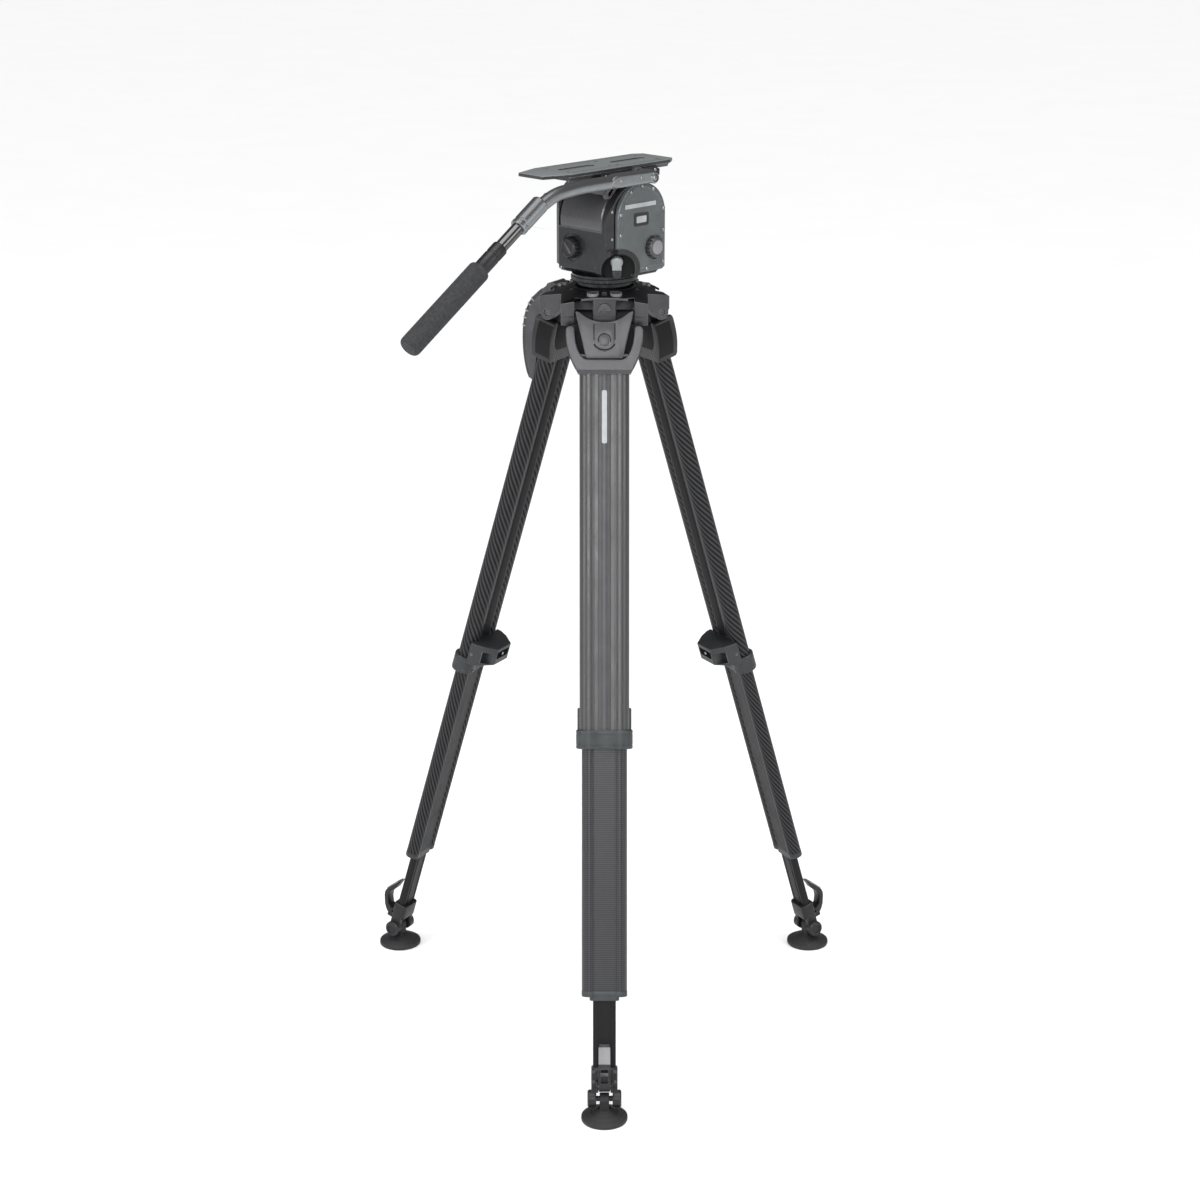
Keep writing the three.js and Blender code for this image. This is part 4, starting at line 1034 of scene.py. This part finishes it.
def clamp_shape():
    disc = rod("y", 12, -57.5, -50.3, (HANDLE_X, 0, HANDLE_Z), 64, 0.8)
    foot = block((0, 28), (-57.5, -50.3), (PLATFORM_BOTTOM + 1, HANDLE_Z), 0.8)
    pivot = Matrix.Translation((HANDLE_X, 0, HANDLE_Z))
    turns = [Matrix.Rotation(math.radians(12 * i), 4, "Y") for i in range(30)]
    teeth = [moved(block((5, 11.4), (-57.6, -57.0), (-0.35, 0.35)), pivot @ turn) for turn in turns]
    return cut(join(disc, foot), *teeth)


def on_slope(x, y=0.0):
    return Vector((x, HANDLE_Y + y, STRAIGHT_Z + (x - STRAIGHT_X) * HANDLE_SLOPE))


def along_slope(profile, sides=64):
    """A profile of (radius, x) turned about the handle's straight line."""
    run = math.hypot(1, HANDLE_SLOPE)
    start = on_slope(profile[0][1])
    direction = (on_slope(profile[-1][1]) - start).normalized()
    shape = turned([(r, abs(x - profile[0][1]) * run) for r, x in profile], "z", sides)
    turn = Vector((0, 0, 1)).rotation_difference(direction).to_matrix().to_4x4()
    return moved(shape, Matrix.Translation(start) @ turn)


def slope_rod(radius, start, end):
    return along_slope([(0, start), (radius, start), (radius, end), (0, end)])


def pan_bar_shape():
    line = [Vector((x, HANDLE_Y, z)) for x, z in ((12, 1340), (-50, 1340), (-114, 1340), (-149, 1338), (-181, 1333))]
    line.append(on_slope(STRAIGHT_X))
    bar = swept(spline(line, 10), arc(0, 0, 9.8, 0, 345, 23), Vector((0, 1, 0)))
    hub = turned([(0, HANDLE_Y - 12), (7, HANDLE_Y - 12), (8.5, HANDLE_Y - 10), (8.5, -59), (7.5, -57.8), (0, -57.8)],
                 "y", 64, (HANDLE_X, 0, HANDLE_Z))
    side = [(18, 1333), (-56, 1331.6), (-66, 1333), (-74, 1336), (-74, 1344), (-66, 1349), (-56, 1351), (18, 1350)]
    body = prism(side, "xz", HANDLE_Y - 10.4, HANDLE_Y + 10, 3.6, 5)
    sleeve = cut(along_slope([(0, -205), (12, -205), (13, -206.4), (13, -240), (12.2, -241), (12.2, -243), (13, -244),
                              (13, -248), (12, -249), (0, -249)]), slope_rod(9.3, -239, -254))
    dimple = rod("y", 5.5, HANDLE_Y - 14, HANDLE_Y - 9.6, (HANDLE_X, 0, HANDLE_Z), 48)
    return cut(join(bar, hub, body, sleeve), dimple)


def pan_bar_bolts_shape():
    pivot = screw_head(4.6, 2.6, "y", (HANDLE_X, HANDLE_Y - 9.4, HANDLE_Z), -1)
    pinch = [screw_head(2.4, 1.6, "y", (x, HANDLE_Y - 10.2, 1341.5), -1) for x in (-56, -14)]
    return gathered(pivot, *pinch)


def outer_tube_shape():
    return cut(slope_rod(9.4, -239.5, -320), slope_rod(8, -242, -322))


def ferrule_shape():
    sleeve = along_slope([(0, -283), (11, -283), (11.5, -284), (11.5, -296), (10.9, -296.8), (10.9, -298.6),
                          (11.5, -299.4), (11.5, -320), (11, -321), (0, -321)])
    return cut(sleeve, slope_rod(9.45, -280, -325))


def grip_shape():
    profile = [(0, -321.4), (13.4, -321.4), (15.2, -322.4), (16, -324.6), (16, -449), (15.6, -451.4), (14.2, -453.6),
               (11.6, -455), (0, -455)]
    return cut(along_slope(profile, 96), slope_rod(8, -309, -345.5))


def knob_shape(radius, height):
    """A fluted knob standing on its base at the origin, facing +Z."""
    body = turned([(0, 0), (radius, 0), (radius, height * 0.62), (radius - 0.8, height * 0.8), (radius - 3.2, height),
                   (radius - 4.6, height), (radius - 5.2, height - 0.9), (0, height - 0.9)], "z", 96)
    return cut(body, *[rod("z", 2.4, -1, height * 0.86, (x, y, 0), 20) for x, y in polar(radius + 1, 16)])


def knob_cap_shape(radius, height):
    bar = prism(rounded_rect(radius * 1.25, 4.2, 1.8), "xy", height - 1.2, height + 0.6, 0.5, 2)
    return turned_by(bar, 40)


RIGHT_KNOB = Matrix.Translation((35, -65.3, KNOB_Z)) @ Matrix.Rotation(math.pi / 2, 4, "X")
REAR_KNOB = Matrix.Translation((-50.3, 15.4, KNOB_Z)) @ Matrix.Rotation(-math.pi / 2, 4, "Y")


def pan_brake_shape():
    hub = rod("y", 9, -66, -50.3, (18, 0, 1218), 48, 1.0)
    paddle = [(10.5, 1222), (12, 1225), (18, 1226.6), (24, 1225), (25.5, 1222), (24.4, 1200), (22.4, 1195.6),
              (18, 1194), (13.6, 1195.6), (11.6, 1200)]
    tip = prism(paddle, "xz", -78, -64, 2.2, 4)
    grooves = [rod("x", 1.1, 8, 28, (0, -78.4, 1199 + 3.4 * i), 20) for i in range(4)]
    return to_front_leg(cut(join(hub, tip), *grooves))


def split_paddle(upper):
    """The paddle's pale upper end, or all that is below it."""
    tip = to_front_leg(block((0, 40), (-90, -63), (1208, 1240)))
    return common(pan_brake_shape(), tip) if upper else cut(pan_brake_shape(), tip)


def tilt_brake_shape():
    hub = rod("y", 8, 62.3, 75, (-26, 0, 1298), 48, 1.0)
    arm = prism([(-24, 1304.4), (-50, 1306), (-54, 1304), (-55.4, 1300), (-54, 1296), (-50, 1294.6), (-24, 1291.6)],
                "xz", 67, 75, 1.6, 4)
    return join(hub, arm)


HEAD_PIECES = (
    # name, shape, body, material, CAD node it stands for, slot, edge
    ("pan_base_body", base_shape(), "pan_base", BLACK, "pan_base", None, 0.25),
    ("housing_body", housing_shape(), "housing", BLACK, "housing", None, 0.45),
    ("right_cover_body", right_cover_shape(), "housing", COVER, "right_cover", None, 0.3),
    ("left_cover_body", left_cover_shape(), "housing", COVER, "left_cover", None, 0.3),
    ("brake_bay_shade", bay_shade_shape(), "housing", SHADE, None, "head_black", 0),
    ("brake_bay_rim", bay_rim_shape(), "housing", BLACK, None, None, 0.2),
    ("cover_screws", cover_screws_shape(), "housing", STEEL, None, None, 0.1),
    ("housing_screws", rear_screws_shape(), "housing", STEEL, None, None, 0.1),
    ("cover_strip", strip_plate_shape(), "housing", LABEL, None, "steel", 0.1),
    ("label_frame", label_frame_shape(), "housing", BLACK, None, None, 0.15),
    ("label_plate", label_plate_shape(), "housing", LABEL, None, "steel", 0.1),
    ("tilt_cradle_body", cradle_shape(), "tilt", DRUM, "tilt_cradle", "head_black", 0.3),
    ("platform_body", platform_shape(), "tilt", DARK, "platform", "head_black", 0.35),
    ("rail_screws", rail_screws_shape(), "tilt", STEEL, None, None, 0.1),
    ("camera_plate_body", plate_shape(), "plate", PLATE, "camera_plate", "cover_grey", 0.3),
    ("camera_screws", plate_screws_shape(), "plate", STEEL, None, None, 0.1),
    ("plate_lock_lever_body", lock_lever_shape(), "plate_lock", CAST, "plate_lock_lever", None, 0.3),
    ("handle_clamp_body", clamp_shape(), "tilt", CAST, "handle_clamp", None, 0.2),
    ("pan_bar_body", pan_bar_shape(), "pan_bar", BAR, "pan_bar", "cast_grey", 0.3),
    ("pan_bar_bolts", pan_bar_bolts_shape(), "pan_bar", STEEL, None, None, 0.1),
    ("pan_bar_tube", outer_tube_shape(), "pan_bar", GLOSS, None, "head_black", 0.2),
    ("pan_bar_ferrule", ferrule_shape(), "pan_bar", DARK, None, "head_black", 0.2),
    ("telescopic_tube_body", slope_rod(7.6, -244, -345), "telescope", BLACK, "telescopic_tube", None, 0.2),
    ("grip_body", grip_shape(), "telescope", FOAM, "grip", None, 0.4),
    ("tilt_drag_knob_body", moved(knob_shape(16, 11), RIGHT_KNOB), "tilt_drag", CAST, "tilt_drag_knob", None, 0.3),
    ("tilt_drag_cap", moved(rod("z", 10.6, 9.6, 11.2, sides=64, ease=0.5), RIGHT_KNOB), "tilt_drag", TAG, None,
     None, 0.1),
    ("counterbalance_knob_body", moved(knob_shape(16, 12), REAR_KNOB), "counterbalance", DARK, "counterbalance_knob",
     None, 0.3),
    ("counterbalance_bar", moved(knob_cap_shape(16, 11.4), REAR_KNOB), "counterbalance", CAST, None, None, 0.1),
    ("pan_brake_lever_body", split_paddle(False), "pan_brake", DARK, "pan_brake_lever", "cast_grey", 0.3),
    ("pan_brake_lever_tip", split_paddle(True), "pan_brake", PADDLE, None, "cast_grey", 0.3),
    ("tilt_brake_lever_body", tilt_brake_shape(), "tilt_brake", CAST, "tilt_brake_lever", None, 0.3),
)
for name, shape, body, material, stands_for, slot, edge in HEAD_PIECES:
    piece(name, shape, HEAD, body, material, stands_for, edge)

for node, material in (("tie_down_stud", STEEL), ("tilt_shaft", STEEL), ("drag_rotor", SPRING),
                       ("counterbalance_spring", SPRING), *((f"{leg}_brake_rod", STEEL) for leg in LEGS)):
    data = frame["nodes"][node].data
    data.materials.clear()
    data.materials.append(material)


# ------------------------------------------------------------------ studio and camera
def paper(color, roughness):
    finish = Finish("paper")
    shade = finish.ramp(finish.noise(finish.node("TexCoord", output="Object"), 3, 2), 0, 1)
    near = tuple(0.985 * c for c in color)
    return finish.done(Base_Color=finish.mix(shade, near, color), Roughness=roughness)


floor = prism([(-40, -40), (40, -40), (40, 40), (-40, 40)], "xy", -0.02, -0.0002)
floor.name = "floor"
floor.data.materials.append(paper((0.93, 0.93, 0.93), 0.9))


def soft_light(name, place, target, size, power, gloss):
    data = bpy.data.lights.new(name, "AREA")
    data.shape = "RECTANGLE"
    data.size, data.size_y = size
    data.energy = power
    data.specular_factor = gloss
    light = bpy.data.objects.new(name, data)
    bpy.context.scene.collection.objects.link(light)
    light.location = place
    light.rotation_euler = (Vector(target) - Vector(place)).to_track_quat("-Z", "Y").to_euler()


soft_light("front", (-0.4, -6.4, 3.4), (0, 0, 0.75), (3.4, 2.2), 230, 0.9)
soft_light("right", (3.6, -2.2, 2.4), (0, 0, 0.9), (1.6, 2.6), 70, 0.06)
soft_light("left", (-3.6, -2.0, 2.2), (0, 0, 0.9), (1.6, 2.6), 80, 0.06)

sky = bpy.data.lights.new("overhead", "SUN")
sky.energy = 2.9
sky.angle = math.radians(50)
overhead = bpy.data.objects.new("overhead", sky)
overhead.rotation_euler = (math.radians(8), 0, 0)
bpy.context.scene.collection.objects.link(overhead)

world = bpy.data.worlds.new("studio")
world.use_nodes = True
world.node_tree.nodes["Background"].inputs["Color"].default_value = (1, 1, 1, 1)
world.node_tree.nodes["Background"].inputs["Strength"].default_value = 0.14
bpy.context.scene.world = world
bpy.context.scene.view_settings.view_transform = "Standard"

lens = bpy.data.cameras.new("camera")
lens.lens = 77.4
lens.sensor_width = 36
camera = bpy.data.objects.new("camera", lens)
camera.location = (-0.0065, -3.6948, 1.920)
camera.rotation_euler = (math.radians(71.88), 0, 0)
bpy.context.scene.collection.objects.link(camera)
bpy.context.scene.camera = camera
